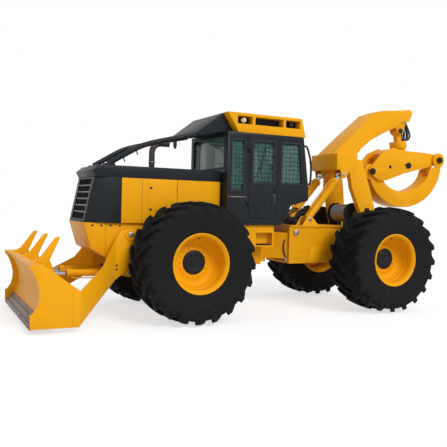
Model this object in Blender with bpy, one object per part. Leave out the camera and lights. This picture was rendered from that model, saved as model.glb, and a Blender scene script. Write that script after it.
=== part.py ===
"""Grapple skidder: an articulated forestry tractor with a blade, a cab, an arch and a log grapple.

Frame: +X is forwards, +Y is the driver's left and +Z is up, in metres. The origin lies on the ground,
below the middle of the wheelbase, which is also the middle of the machine's length.
"""
import math

import bmesh
import bpy
from mathutils import Matrix, Vector

# Driving sizes
GAP = 0.0003                 # between two pieces that touch
RUN = 0.0005                 # at the faces of a turning pin or hub
CLEAR = 0.006                # round a piece that moves
HALF_LENGTH = 4.30
HALF_WHEELBASE = 1.865
HALF_TRACK = 1.13
PLATE = 0.03

# Tyres and rims
LUGS = 20                    # on each side of the tread
TYRE_R = 0.935
LUG_H = 0.058
TYRE_HALF_W = 0.385
LUG_SWEEP = math.radians(17)
BEAD_R = 0.432
BEAD_HALF_W = 0.325
WALL_R = 0.58               # the sidewall's lower row
WALL_HALF_W = 0.37
FLANGE_R = 0.462
FLANGE_T = 0.018
RIM_WALL = 0.02
HUB_R = 0.183
HUB_Y = 0.068                # the hub's face, from the wheel's middle plane
DISC_Y = 0.044
DISC_R = 0.335
DISC_T = 0.03
HUB_BACK_Y = -0.03
AXLE_R = 0.15
AXLE_BOWL_R = 0.27
AXLE_BOWL_HALF_W = 0.22

# Chassis
PIVOT_X = 0.10
FRAME_HALF_W = 0.40
CAB_FLOOR = 1.50
HOOD_BASE = 1.50
FRAME_TOP = HOOD_BASE - 0.03
FRAME_BOTTOM = 0.80
FRAME_FRONT = 3.05
FRAME_OVER_AXLE = TYRE_R + AXLE_BOWL_R + GAP
AXLE_NOTCH = 0.34            # half the notch's length over an axle
YOKE_REACH = 0.14            # the front frame ends this far in front of the pivot
REAR_START = 0.44            # the rear frame's full width starts this far behind it
EAR_R = 0.16
EAR_T = 0.06
PIN_R = 0.055
KNUCKLE_R = 0.12
REAR_END = -2.5
REAR_BELLY = -HALF_WHEELBASE + AXLE_NOTCH + 0.075
REAR_PLATE_TOP = 1.20        # the frame is open above this at its rear end, where an opened tong swings
DECK = CAB_FLOOR - 0.01
DECK_END = -1.99             # the deck stops here, in front of the open well

# Blade
BLADE_PIN = (2.72, 1.33)     # X, Z
BLADE_HALF_W = 1.30
BLADE_TOP = 0.94
BLADE_FOOT = 0.07
EDGE_H = 0.20
EDGE_T = 0.022
# the moldboard's face, X and Z from its foot to its top
BLADE_FACE = ((4.27, BLADE_FOOT), (4.14, 0.24), (4.08, 0.42), (4.09, 0.62), (4.16, 0.80),
              (HALF_LENGTH - 0.02, BLADE_TOP))
ARM_T = 0.045
ARM_Y = 0.675                # middle of the arm's plate beside the wheel
ARM_FLARE = (2.95, 3.62)     # X where the arm starts and ends its flare
BLADE_CYL_PIN = (2.62, 0.70)
BLADE_CYL_EYE = (3.83, 0.72)
BLADE_CYL_Y = 0.26
BLADE_CYL_PIN_R = 0.028
BLADE_PIN_R = 0.045
LUG_T = 0.024
BLADE_LUG = 0.075            # middle of each lug plate, from the cylinder's
FINGER_YS = (-0.92, 0.0, 0.92)

# Hood and nose
HOOD_HALF_W = 0.55
HOOD_TOP = 2.385
HOOD_BAND = 2.20
HOOD_BACK = 1.145
SEAM_X = 2.83
GRILLE_LOW = (3.40, 1.50)
NOSE_LOW = 0.97

# Cab
CAB_HALF_W = 0.75
CAB_WALL = 0.04
CAB_FRONT = 1.12
CAB_TOP = 3.03
DOOR_X = (0.16, 0.71)
DOOR_Z = (1.61, 2.97)
DOOR_PIN = (0.7125, 0.767)
SILL = 2.20
WINDOW_TOP = 2.92
ROOF_TOP = 3.35

# Arch and grapple
ARCH_PIN = (-2.02, 1.40)
ARCH_FOOT_Y = (0.425, 0.535)
ARCH_CYL_PIN = (-0.76, 1.60)
ARCH_CYL_EYE = (-1.50, 2.46)
ARCH_CYL_Y = 0.30
ARCH_PIN_R = 0.05
ARCH_CYL_PIN_R = 0.03
ARCH_LUG = 0.106
ROTATOR_SEAT = 0.36          # from the middle of the head up its leaning axis to the face it turns on
HANG = 0.71                  # and up to the hanger's pin
HANGER_PIN_R = 0.035
GRAPPLE_TILT = 10            # degrees, rear end up
TONG_REACH = 0.93            # from the middle of the head to each tong's pin
TONG_EYE_R = 0.15
TONG_SIDES = 24
TILT_COS, TILT_SIN = math.cos(math.radians(GRAPPLE_TILT)), math.sin(math.radians(GRAPPLE_TILT))
GRAPPLE_MID = (-HALF_LENGTH + TONG_EYE_R + TONG_REACH * TILT_COS, 2.72)
HANGER_PIN = (GRAPPLE_MID[0] + HANG * TILT_SIN, GRAPPLE_MID[1] + HANG * TILT_COS)
WINCH_X = -1.84


def clear_scene():
    for thing in list(bpy.data.objects):
        bpy.data.objects.remove(thing)


def collection(name):
    group = bpy.data.collections.new(name)
    bpy.context.scene.collection.children.link(group)
    return group


def material(name, colour, rough, metal=0.0):
    paint = bpy.data.materials.new(name)
    paint.use_nodes = True
    shader = paint.node_tree.nodes["Principled BSDF"]
    shader.inputs["Base Color"].default_value = (*colour, 1.0)
    shader.inputs["Roughness"].default_value = rough
    shader.inputs["Metallic"].default_value = metal
    return paint


# Making shapes. Each of these gives a loose mesh object in world space, which build() finishes.

def from_bmesh(bm):
    bmesh.ops.recalc_face_normals(bm, faces=bm.faces)
    mesh = bpy.data.meshes.new("work")
    bm.to_mesh(mesh)
    bm.free()
    thing = bpy.data.objects.new("work", mesh)
    bpy.context.scene.collection.objects.link(thing)
    return thing


def evaluated(thing):
    """The object's mesh after its modifiers, welded, in world space; the object is removed."""
    graph = bpy.context.evaluated_depsgraph_get()
    mesh = bpy.data.meshes.new_from_object(thing.evaluated_get(graph))
    bm = bmesh.new()
    bm.from_mesh(mesh)
    bm.transform(thing.matrix_world)
    bmesh.ops.remove_doubles(bm, verts=bm.verts, dist=0.00005)
    bpy.data.objects.remove(thing)
    return from_bmesh(bm)


def arc(x, y, radius, start, end, steps):
    """Points on an arc between two angles in degrees."""
    angles = [math.radians(start + (end - start) * i / steps) for i in range(steps + 1)]
    return [(x + radius * math.cos(a), y + radius * math.sin(a)) for a in angles]


def bored(radius, sides=14):
    """Radius of a many-sided hole that a pin of the given radius turns in."""
    return (radius + RUN) / math.cos(math.pi / sides)


def box(low, high):
    bm = bmesh.new()
    bmesh.ops.create_cube(bm, size=1.0)
    size = Vector(high) - Vector(low)
    centre = (Vector(high) + Vector(low)) / 2
    bmesh.ops.transform(bm, matrix=Matrix.Translation(centre) @ Matrix.Diagonal((*size, 1)), verts=bm.verts)
    return from_bmesh(bm)


def rod(start, end, radius, end_radius=None, sides=12):
    start, end = Vector(start), Vector(end)
    bm = bmesh.new()
    bmesh.ops.create_cone(bm, cap_ends=True, segments=sides, radius1=radius,
                          radius2=radius if end_radius is None else end_radius, depth=(end - start).length)
    turn = (end - start).to_track_quat("Z", "Y").to_matrix().to_4x4()
    bmesh.ops.transform(bm, matrix=Matrix.Translation((start + end) / 2) @ turn, verts=bm.verts)
    return from_bmesh(bm)


def across(x, z, half, radius, sides=12, y=0.0):
    """A round bar along Y."""
    return rod((x, y - half, z), (x, y + half, z), radius, sides=sides)


PLANES = {"XZ": Matrix(((1, 0, 0), (0, 0, -1), (0, 1, 0))).to_4x4(),
          "XY": Matrix.Identity(4),
          "YZ": Matrix(((0, 0, 1), (1, 0, 0), (0, 1, 0))).to_4x4()}


def plate(outline, low, high, plane="XZ", holes=()):
    """A flat outline in a plane, extruded from low to high along the plane's third axis."""
    curve = bpy.data.curves.new("outline", "CURVE")
    curve.dimensions = "2D"
    curve.fill_mode = "BOTH"
    curve.extrude = (high - low) / 2
    for points in (outline, *holes):
        spline = curve.splines.new("POLY")
        spline.points.add(len(points) - 1)
        for point, place in zip(spline.points, points):
            point.co = (*place, 0, 1)
        spline.use_cyclic_u = True
    thing = bpy.data.objects.new("outline", curve)
    bpy.context.scene.collection.objects.link(thing)
    middle = (low + high) / 2
    shift = {"XZ": (0, middle, 0), "XY": (0, 0, middle), "YZ": (middle, 0, 0)}[plane]
    thing.matrix_world = Matrix.Translation(shift) @ PLANES[plane]
    bpy.context.view_layer.update()
    return evaluated(thing)


def tube(points, radius, sides_of_quarter=1):
    curve = bpy.data.curves.new("run", "CURVE")
    curve.dimensions = "3D"
    curve.bevel_depth = radius
    curve.bevel_resolution = sides_of_quarter
    curve.use_fill_caps = True
    spline = curve.splines.new("POLY")
    spline.points.add(len(points) - 1)
    for point, place in zip(spline.points, points):
        point.co = (*place, 1)
    thing = bpy.data.objects.new("run", curve)
    bpy.context.scene.collection.objects.link(thing)
    return evaluated(thing)


def turned(profile, sides, x, y, z, flip=1):
    """A profile of (radius, height along the axle) turned about the axle, which runs along Y."""
    bm = bmesh.new()
    ring = [bm.verts.new((radius, flip * height, 0)) for radius, height in profile]
    for one, two in zip(ring, ring[1:] + ring[:1]):
        if profile[ring.index(one)][0] > 0 or profile[ring.index(two)][0] > 0:
            bm.edges.new((one, two))
    bmesh.ops.spin(bm, geom=bm.verts[:] + bm.edges[:], cent=(0, 0, 0), axis=(0, 1, 0),
                   angle=math.tau, steps=sides, use_merge=True)
    bmesh.ops.remove_doubles(bm, verts=bm.verts, dist=0.00005)
    bmesh.ops.translate(bm, vec=(x, y, z), verts=bm.verts)
    return from_bmesh(bm)


def bend(thing, cuts, shape):
    """Cut the mesh at each X in cuts, then move each vertex by the function shape."""
    bm = bmesh.new()
    bm.from_mesh(thing.data)
    for axis, place in cuts:
        normal = Vector((axis == "X", axis == "Y", axis == "Z"))
        bmesh.ops.bisect_plane(bm, geom=bm.verts[:] + bm.edges[:] + bm.faces[:], plane_co=normal * place,
                               plane_no=normal)
    for vertex in bm.verts:
        vertex.co = shape(vertex.co.copy())
    bmesh.ops.triangulate(bm, faces=bm.faces)
    bm.to_mesh(thing.data)
    bm.free()
    return thing


def mirrored(thing):
    """A copy on the machine's other side."""
    bm = bmesh.new()
    bm.from_mesh(thing.data)
    bmesh.ops.scale(bm, vec=(1, -1, 1), verts=bm.verts)
    return from_bmesh(bm)


def flipped(thing):
    """The piece itself, moved to the machine's other side."""
    copy = mirrored(thing)
    bpy.data.objects.remove(thing)
    return copy


def turn(thing, angle, x, z):
    """Turn a mesh in the XZ plane about a point, by an angle in degrees that lifts its rear."""
    about = Vector((x, 0, z))
    bm = bmesh.new()
    bm.from_mesh(thing.data)
    bmesh.ops.rotate(bm, cent=about, matrix=Matrix.Rotation(math.radians(angle), 3, "Y"), verts=bm.verts)
    bm.to_mesh(thing.data)
    bm.free()
    return thing


def fuse(pieces, cuts=()):
    """Join overlapping solids into one, then cut others out of it."""
    body = pieces[0]
    for group, operation in ((pieces[1:], "UNION"), (cuts, "DIFFERENCE")):
        for piece in group:
            step = body.modifiers.new("join", "BOOLEAN")
            step.operation = operation
            step.object = piece
            body = evaluated(body)
            bpy.data.objects.remove(piece)
    bm = bmesh.new()
    bm.from_mesh(body.data)
    bmesh.ops.dissolve_limit(bm, angle_limit=0.002, verts=bm.verts, edges=bm.edges)
    bmesh.ops.triangulate(bm, faces=bm.faces)
    bm.to_mesh(body.data)
    bm.free()
    return body


BODIES = {}


def body_empty(name, place, parent=None):
    """An empty on the body's joint, which carries the body's pieces."""
    empty = bpy.data.objects.new("joint_of_" + name, None)
    MODEL.objects.link(empty)
    empty.location = Vector(place) - (BODIES[parent].matrix_world.translation if parent else Vector())
    empty.parent = BODIES[parent] if parent else None
    BODIES[name] = empty
    bpy.context.view_layer.update()


def build(name, paint, body, thing):
    """Name a finished solid and hang it on its body, with its origin on the body's joint."""
    place = BODIES[body].matrix_world.translation
    thing.data.transform(Matrix.Translation(-place))
    thing.parent = BODIES[body]
    thing.name = thing.data.name = name
    thing.data.materials.append(paint)
    thing.data.shade_smooth()
    thing.data.set_sharp_from_angle(angle=math.radians(30))
    bpy.context.scene.collection.objects.unlink(thing)
    MODEL.objects.link(thing)
    return thing


# Wheels

def lugged_tyre(x, y, z):
    """A carcass spun from its section, with every other cell of the tread raised into a swept lug."""
    groove = TYRE_R - LUG_H
    # half width, radius of the carcass's rows on one side, from the middle of the tread outwards
    rows = ((0.03, groove), (0.19, groove - 0.008), (0.365, groove - 0.035),
            (TYRE_HALF_W, 0.74), (WALL_HALF_W, WALL_R), (BEAD_HALF_W, BEAD_R))
    section = [(row[1], row[0]) for row in rows] + [(row[1], -row[0]) for row in reversed(rows)]
    columns = 2 * LUGS
    bm = bmesh.new()
    ring = [bm.verts.new((0, width, radius)) for radius, width in section]
    for one, two in zip(ring, ring[1:] + ring[:1]):
        bm.edges.new((one, two))
    bmesh.ops.spin(bm, geom=bm.verts[:] + bm.edges[:], cent=(0, 0, 0), axis=(0, 1, 0),
                   angle=math.tau, steps=columns, use_merge=True)
    bmesh.ops.remove_doubles(bm, verts=bm.verts, dist=0.00005)
    raised = []
    for face in bm.faces:
        middle = face.calc_center_median()
        radius = math.hypot(middle.x, middle.z)
        if abs(middle.y) < 0.05 or radius < groove - 0.05:
            continue
        column = int(math.atan2(middle.x, middle.z) % math.tau / math.tau * columns)
        if column % 2 == (middle.y > 0):
            raised.append(face)
    lifted = bmesh.ops.extrude_face_region(bm, geom=raised)["geom"]
    tops = [item for item in lifted if isinstance(item, bmesh.types.BMVert)]
    bmesh.ops.delete(bm, geom=[face for face in raised if face.is_valid], context="FACES")
    half_column = math.pi / columns
    for vertex in tops:
        angle = math.atan2(vertex.co.x, vertex.co.z) % math.tau
        side = vertex.co.y > 0
        column = round(angle / (2 * half_column) - 0.5 - (0.5 if (angle / (2 * half_column)) % 1 < 0.5 else -0.5))
        nearest = min((c for c in range(-2, columns + 3) if c % 2 == side),
                      key=lambda c: abs((c + 0.5) * 2 * half_column - angle))
        middle = (nearest + 0.5) * 2 * half_column
        angle = middle + (angle - middle) * 0.72
        radius = TYRE_R - 0.03 * max(0.0, (abs(vertex.co.y) - 0.03) / 0.335) ** 2
        vertex.co = (radius * math.sin(angle), vertex.co.y * 1.03, radius * math.cos(angle))
    for vertex in bm.verts:
        share = min(abs(vertex.co.y) / 0.36, 1.0)
        if math.hypot(vertex.co.x, vertex.co.z) < groove - 0.05:
            share = 1.0
        vertex.co.rotate(Matrix.Rotation(-LUG_SWEEP * (0.45 * share + 0.55 * share ** 2), 3, "Y"))
    low = min(vertex.co.z for vertex in bm.verts)
    bmesh.ops.translate(bm, vec=(x, y, -low), verts=bm.verts)
    return from_bmesh(bm), -low


def rim(x, y, z, side):
    seat = BEAD_R * math.cos(math.pi / (2 * LUGS)) - GAP
    lip = BEAD_HALF_W + (FLANGE_R - BEAD_R) * (WALL_HALF_W - BEAD_HALF_W) / (WALL_R - BEAD_R) + 2 * GAP
    profile = ((0, HUB_Y), (HUB_R, HUB_Y), (HUB_R + 0.006, DISC_Y), (DISC_R, DISC_Y), (0.395, 0.12),
               (seat - RIM_WALL, BEAD_HALF_W), (FLANGE_R, lip + FLANGE_T), (FLANGE_R, lip),
               (seat, BEAD_HALF_W + GAP), (seat, -BEAD_HALF_W - GAP), (FLANGE_R, -lip),
               (FLANGE_R, -lip - FLANGE_T), (seat - RIM_WALL, -BEAD_HALF_W), (0.37, DISC_Y - 2 * DISC_T),
               (AXLE_R + 0.05, DISC_Y - 2 * DISC_T), (AXLE_R + 0.03, HUB_BACK_Y), (0, HUB_BACK_Y))
    return turned(profile, 20, x, y, z, side)


def axle(x, height, y_end):
    """A rigid axle: a tube across, a round housing in the middle and a hub flange at each end."""
    bowl = turned(((0, AXLE_BOWL_HALF_W), (AXLE_R + 0.02, AXLE_BOWL_HALF_W), (AXLE_BOWL_R, 0.08),
                   (AXLE_BOWL_R, -0.08), (AXLE_R + 0.02, -AXLE_BOWL_HALF_W), (0, -AXLE_BOWL_HALF_W)),
                  16, x, 0, height)
    arms = across(x, height, y_end, AXLE_R * 0.8)
    flanges = [across(x, height, 0.05, AXLE_R, y=side * (y_end - 0.05 + 0.0001)) for side in (1, -1)]
    return fuse([bowl, arms, *flanges])


# Frames

def front_frame():
    notch = [(HALF_WHEELBASE + s * AXLE_NOTCH, z) for s, z in ((-1, FRAME_BOTTOM), (-0.8, FRAME_OVER_AXLE),
                                                              (0.8, FRAME_OVER_AXLE), (1, FRAME_BOTTOM))]
    start = PIVOT_X + YOKE_REACH
    outline = [(start, FRAME_BOTTOM), *notch, (2.75, 0.70), (FRAME_FRONT, NOSE_LOW),
               (FRAME_FRONT, FRAME_TOP), (start, FRAME_TOP)]
    side = plate(outline, FRAME_HALF_W - PLATE, FRAME_HALF_W)
    inside = FRAME_HALF_W - 0.001
    deck = box((start, -inside, FRAME_TOP - 0.04), (FRAME_FRONT, inside, FRAME_TOP - 0.001))
    crosses = [box((x, -inside, low), (x + 0.05, inside, FRAME_TOP - 0.02))
               for x, low in ((start + 0.001, FRAME_BOTTOM + 0.001), (HALF_WHEELBASE - 0.45, FRAME_BOTTOM + 0.02),
                              (HALF_WHEELBASE + 0.42, FRAME_BOTTOM + 0.02),
                              (FRAME_FRONT - 0.051, NOSE_LOW + 0.02))]
    saddle = box((HALF_WHEELBASE - 0.2, -inside, FRAME_OVER_AXLE + 0.0005),
                 (HALF_WHEELBASE + 0.2, inside, FRAME_OVER_AXLE + 0.05))
    ears = []
    for low in (FRAME_BOTTOM + 0.02, FRAME_TOP - EAR_T - 0.05):
        high = low + EAR_T
        ears.append(plate([(start + 0.03, -0.3), (start + 0.03, 0.3), *arc(PIVOT_X, 0, EAR_R, 80, 280, 10)],
                          low, high, "XY"))
    pin = rod((PIVOT_X, 0, FRAME_BOTTOM - 0.02), (PIVOT_X, 0, FRAME_TOP - 0.02), PIN_R)
    lugs = []
    x, z = BLADE_CYL_PIN
    lug_outline = [(x - 0.20, 0.90), (x - 0.22, 1.01), (x + 0.18, 1.01), (x + 0.10, z - 0.04), (x, z - 0.07),
                   (x - 0.08, z - 0.04)]
    for y in (BLADE_CYL_Y, -BLADE_CYL_Y):
        lugs += [plate(lug_outline, y + offset - LUG_T / 2, y + offset + LUG_T / 2)
                 for offset in (-BLADE_LUG, BLADE_LUG)]
        lugs.append(across(x, z, BLADE_LUG, BLADE_CYL_PIN_R, 12, y))
        lugs.append(box((x - 0.24, y - 0.095, 0.98), (x + 0.24, y + 0.095, 1.02)))
    shelf = box((HALF_WHEELBASE + 0.44, -inside, 1.0), (FRAME_FRONT - 0.02, inside, 1.03))
    shaft = across(*BLADE_PIN, ARM_Y + 0.045, BLADE_PIN_R)
    return fuse([side, mirrored(side), deck, *crosses, saddle, shelf, *ears, pin, *lugs, shaft])


def rear_frame():
    start = PIVOT_X - REAR_START
    notch = [(-HALF_WHEELBASE + s * AXLE_NOTCH, z) for s, z in ((1, FRAME_BOTTOM + 0.05), (0.8, FRAME_OVER_AXLE),
                                                               (-0.8, FRAME_OVER_AXLE), (-1, FRAME_BOTTOM + 0.05))]
    outline = [(start, FRAME_BOTTOM), (REAR_BELLY + 0.05, FRAME_BOTTOM), *notch, (REAR_END, 0.95), (REAR_END, DECK),
               (start, DECK)]
    side = plate(outline, FRAME_HALF_W - PLATE, FRAME_HALF_W)
    inside = FRAME_HALF_W - 0.001
    deck = box((DECK_END, -inside, DECK - 0.04), (start - 0.001, inside, DECK - 0.001))
    belly = box((REAR_BELLY, -inside, FRAME_BOTTOM + 0.001), (start - 0.001, inside, FRAME_BOTTOM + 0.04))
    # front X, bottom and top of each plate across
    crosses = [box((x - 0.05, -inside, low), (x, inside, high))
               for x, low, high in ((start - 0.001, FRAME_BOTTOM + 0.06, DECK - 0.02),
                                    (REAR_BELLY + 0.07, FRAME_BOTTOM + 0.06, DECK - 0.02),
                                    (REAR_END + 0.051, 0.97, REAR_PLATE_TOP))]
    saddle = box((-HALF_WHEELBASE - 0.2, -inside, FRAME_OVER_AXLE + 0.0005),
                 (-HALF_WHEELBASE + 0.2, inside, FRAME_OVER_AXLE + 0.05))
    neck_low, neck_high = FRAME_BOTTOM + 0.02 + EAR_T + CLEAR, FRAME_TOP - EAR_T - 0.05 - CLEAR
    neck = plate([(start - 0.02, 0.36), (start - 0.02, -0.36), *arc(PIVOT_X, 0, KNUCKLE_R, -110, 110, 10)],
                 neck_low, neck_high, "XY")
    flange = [box((REAR_END + 0.01, s * FRAME_HALF_W - 0.019, DECK - 0.03),
                  (start - 0.01, s * FRAME_HALF_W + 0.02, DECK + 0.0005)) for s in (1, -1)]
    shaft = across(*ARCH_PIN, ARCH_FOOT_Y[1] + 0.03, ARCH_PIN_R)
    lugs = []
    x, z = ARCH_CYL_PIN
    lug_outline = [(x + 0.17, DECK - 0.02), (x + 0.05, z + 0.05), (x - 0.02, z + 0.06), (x - 0.08, z + 0.02),
                   (x - 0.22, DECK - 0.02)]
    for y in (ARCH_CYL_Y, -ARCH_CYL_Y):
        lugs += [plate(lug_outline, y + offset - LUG_T / 2, y + offset + LUG_T / 2)
                 for offset in (-ARCH_LUG, ARCH_LUG)]
        lugs.append(across(x, z, ARCH_LUG, ARCH_CYL_PIN_R, 12, y))
    bore = rod((PIVOT_X, 0, 0.5), (PIVOT_X, 0, 1.7), bored(PIN_R), sides=14)
    return fuse([side, mirrored(side), deck, belly, *crosses, saddle, *flange, neck, shaft, *lugs], [bore])


# Blade

def blade():
    front = list(BLADE_FACE)
    back = [(x - 0.04, z + 0.01) for x, z in reversed(front)]
    board = plate(front + back, -BLADE_HALF_W, BLADE_HALF_W)
    cheek = [(3.62, BLADE_FOOT + 0.01), (HALF_LENGTH - 0.015, BLADE_FOOT + 0.01), (HALF_LENGTH, BLADE_TOP + 0.015),
             (4.13, BLADE_TOP + 0.015), (3.62, 0.58)]
    cheeks = [plate(cheek, s * BLADE_HALF_W - PLATE / 2, s * BLADE_HALF_W + PLATE / 2) for s in (1, -1)]
    top = box((4.16, -BLADE_HALF_W, BLADE_TOP - 0.02), (HALF_LENGTH - 0.01, BLADE_HALF_W, BLADE_TOP + 0.012))
    rib = box((3.90, -BLADE_HALF_W, 0.16), (4.13, BLADE_HALF_W, 0.20))
    fingers = []
    for y in FINGER_YS:
        outline = [(HALF_LENGTH - 0.02, BLADE_TOP - 0.01), (4.06, 0.62), (3.92, 0.74), (3.79, 1.22), (3.80, 1.28),
                   (3.85, 1.31), (3.90, 1.29), (4.10, 1.02)]
        fingers.append(plate(outline, y - 0.03, y + 0.03))
    arm_outline = [(2.66, 1.27), (2.66, 1.38), (2.72, 1.42), (2.87, 1.39), (3.2, 0.86), (3.62, 0.565), (3.72, 0.54),
                   (3.72, 0.10), (3.62, 0.10), (3.12, 0.5), (2.80, 0.76), (2.72, 1.0)]

    def flare(place):
        share = min(max((place.x - ARM_FLARE[0]) / (ARM_FLARE[1] - ARM_FLARE[0]), 0), 1)
        place.y += share * (BLADE_HALF_W - ARM_Y)
        return place

    arm = bend(plate(arm_outline, ARM_Y - ARM_T / 2, ARM_Y + ARM_T / 2), (("X", ARM_FLARE[0]), ("X", ARM_FLARE[1])),
               flare)
    eye = across(*BLADE_PIN, ARM_T / 2 + 0.015, 0.085, y=ARM_Y)
    lugs = []
    x, z = BLADE_CYL_EYE
    lug_outline = [(4.10, 0.85), (x, z + 0.06), (x - 0.06, z), (x - 0.02, z - 0.05), (4.10, 0.50)]
    for y in (BLADE_CYL_Y, -BLADE_CYL_Y):
        lugs += [plate(lug_outline, y + offset - LUG_T / 2, y + offset + LUG_T / 2)
                 for offset in (-BLADE_LUG, BLADE_LUG)]
        lugs.append(across(x, z, BLADE_LUG, 0.022, 12, y))
    solids = [board, *cheeks, top, rib, *fingers, arm, mirrored(arm), eye, mirrored(eye), *lugs]
    bores = [across(*BLADE_PIN, 0.2, bored(BLADE_PIN_R), 14, y=s * ARM_Y) for s in (1, -1)]
    return fuse(solids, bores)


def cutting_edge():
    """The worn steel strip that lies on the foot of the moldboard's face."""
    foot, knee = Vector(BLADE_FACE[0]), Vector(BLADE_FACE[1])
    up = (knee - foot).normalized()
    out = Vector((up.y, -up.x))
    back = [foot - up * 0.012 + out * GAP, foot + up * EDGE_H + out * GAP]
    outline = [*back, back[1] + out * EDGE_T * 0.6, back[0] + out * EDGE_T]
    return plate([tuple(point) for point in outline], -BLADE_HALF_W + PLATE, BLADE_HALF_W - PLATE)


# Hydraulic cylinders

def cylinder(pin, eye, y, bore_r, rod_r, closed_share, travel_in, eye_r, pin_r, eye_hole, half_w):
    """Barrel and rod between two pins in the XZ plane; the rod's eye has play round its pin."""
    start, end = Vector((pin[0], y, pin[1])), Vector((eye[0], y, eye[1]))
    along = (end - start).normalized()
    head = (end - start).length * closed_share
    bottom = eye_r * 1.5 + 0.01
    barrel = fuse([rod(start + along * eye_r * 0.5, start + along * head, bore_r),
                   across(*pin, half_w, eye_r, y=y),
                   rod(start + along * (head - 0.06), start + along * (head + 0.002), bore_r + 0.009)],
                  [across(*pin, 1.5 * half_w, bored(pin_r), 14, y=y),
                   rod(start + along * bottom, start + along * (head + 0.1), rod_r + RUN)])
    shaft = fuse([rod(start + along * (bottom + travel_in), end - along * eye_r * 0.5, rod_r),
                  across(*eye, half_w, eye_r, y=y)],
                 [across(*eye, 1.5 * half_w, eye_hole, y=y)])
    return barrel, shaft


# Hood, nose and guard

def hood_top():
    outline = [(HOOD_BACK, HOOD_BAND + GAP), (3.245, HOOD_BAND + GAP), (3.29, 2.30), (3.18, HOOD_TOP),
               (HOOD_BACK, HOOD_TOP)]
    shell = plate(outline, -HOOD_HALF_W, HOOD_HALF_W)
    hollow = box((HOOD_BACK - 0.1, -HOOD_HALF_W + PLATE, HOOD_BAND - 0.1), (3.12, HOOD_HALF_W - PLATE, HOOD_TOP - PLATE))
    return fuse([shell], [hollow])


def hood_side(side):
    panel = box((HOOD_BACK, HOOD_HALF_W - PLATE, HOOD_BASE), (SEAM_X, HOOD_HALF_W, HOOD_BAND))
    door = box((1.92, HOOD_HALF_W - 0.01, HOOD_BASE + 0.06), (2.40, HOOD_HALF_W + 0.008, HOOD_BAND - 0.03))
    whole = fuse([panel, door])
    return whole if side > 0 else flipped(whole)


def grille():
    """The black front of the hood: side walls back to the seam, a leaning frame and its bars."""
    front = GRILLE_LOW[0] - 0.005
    outline = [(SEAM_X + GAP, HOOD_BASE), (front, HOOD_BASE), (3.25, HOOD_BAND), (SEAM_X + GAP, HOOD_BAND)]
    block = plate(outline, -HOOD_HALF_W, HOOD_HALF_W)

    def narrow(place):
        share = min(max((place.x - 3.0) / 0.4, 0), 1)
        place.y *= 1 - 0.12 * share
        return place

    bend(block, (("X", 3.0),), narrow)
    hollow = box((SEAM_X - 0.1, -HOOD_HALF_W + PLATE, HOOD_BASE + PLATE), (3.17, HOOD_HALF_W - PLATE, HOOD_BAND + 0.1))
    mouth = box((3.1, -0.41, HOOD_BASE + 0.05), (3.6, 0.41, HOOD_BAND - 0.03))
    count = 6
    step = (HOOD_BAND - 0.03 - HOOD_BASE - 0.05) / count
    lean = (front - 3.25) / (HOOD_BAND - HOOD_BASE)
    bars = []
    for index in range(1, count):
        z = HOOD_BASE + 0.05 + index * step
        x = front - (z - HOOD_BASE) * lean
        bars.append(box((x - 0.075, -0.44, z - 0.012), (x - 0.012, 0.44, z + 0.012)))
    shell = fuse([block], [hollow, mouth])
    return fuse([shell, *bars])


def nose():
    outline = [(FRAME_FRONT + GAP, NOSE_LOW), (3.28, 1.10), (GRILLE_LOW[0], HOOD_BASE - GAP),
               (FRAME_FRONT + GAP, HOOD_BASE - GAP)]
    block = plate(outline, -0.5, 0.5)
    holes = [across(3.25 - 0.12 * i, 1.455, 0.03, 0.014, 8, y=0.5 * s) for i in range(2) for s in (1, -1)]
    return fuse([block], holes)


def canopy_guard():
    """The brow in front of the roof and the two tubes that run down to the hood."""
    brow = plate([(0.96, 3.034), (1.155, 3.34), (1.62, 2.985), (1.60, 2.94), (1.13, 3.03)], -0.6, 0.6)
    tubes = []
    for side in (1, -1):
        path = [(1.30, 0.56, 3.02), (1.62, 0.545, 2.95), (2.2, 0.51, 2.81), (2.45, 0.50, 2.74), (2.62, 0.49, 2.66),
                (3.02, 0.45, HOOD_TOP + 0.03)]
        tubes.append(tube([(x, side * y, z) for x, y, z in path], 0.032))
    feet = [box((2.93, side * 0.45 - 0.06, HOOD_TOP + GAP), (3.10, side * 0.45 + 0.06, HOOD_TOP + 0.03))
            for side in (1, -1)]
    cross = rod((2.45, -0.50, 2.74), (2.45, 0.50, 2.74), 0.022, sides=8)
    return fuse([brow, *tubes, *feet, cross])


def exhaust():
    base = rod((2.16, 0, HOOD_TOP + GAP), (2.16, 0, HOOD_TOP + 0.03), 0.09)
    bend_r = 0.16
    elbow = [(x, 0, z) for x, z in arc(2.16 - bend_r, 2.66, bend_r, 0, 90, 6)]
    pipe = tube([(2.16, 0, HOOD_TOP + 0.01), (2.16, 0, 2.55), *elbow, (1.86, 0, 2.82)], 0.052, 2)
    return fuse([base, pipe])


# Cab

# The inner face of the leaning rear wall: X and Z at its top, and its lean
REAR_WALL_TOP = (-0.31, CAB_TOP - 0.03)
REAR_WALL_LEAN = 0.15
CAB_OUTLINE = [(CAB_FRONT, CAB_FLOOR), (CAB_FRONT, CAB_TOP), (-0.35, CAB_TOP), (-0.476, 2.16), (-0.48, 1.94),
               (-0.13, 1.84), (-0.06, 1.72), (0.06, CAB_FLOOR)]


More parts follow.
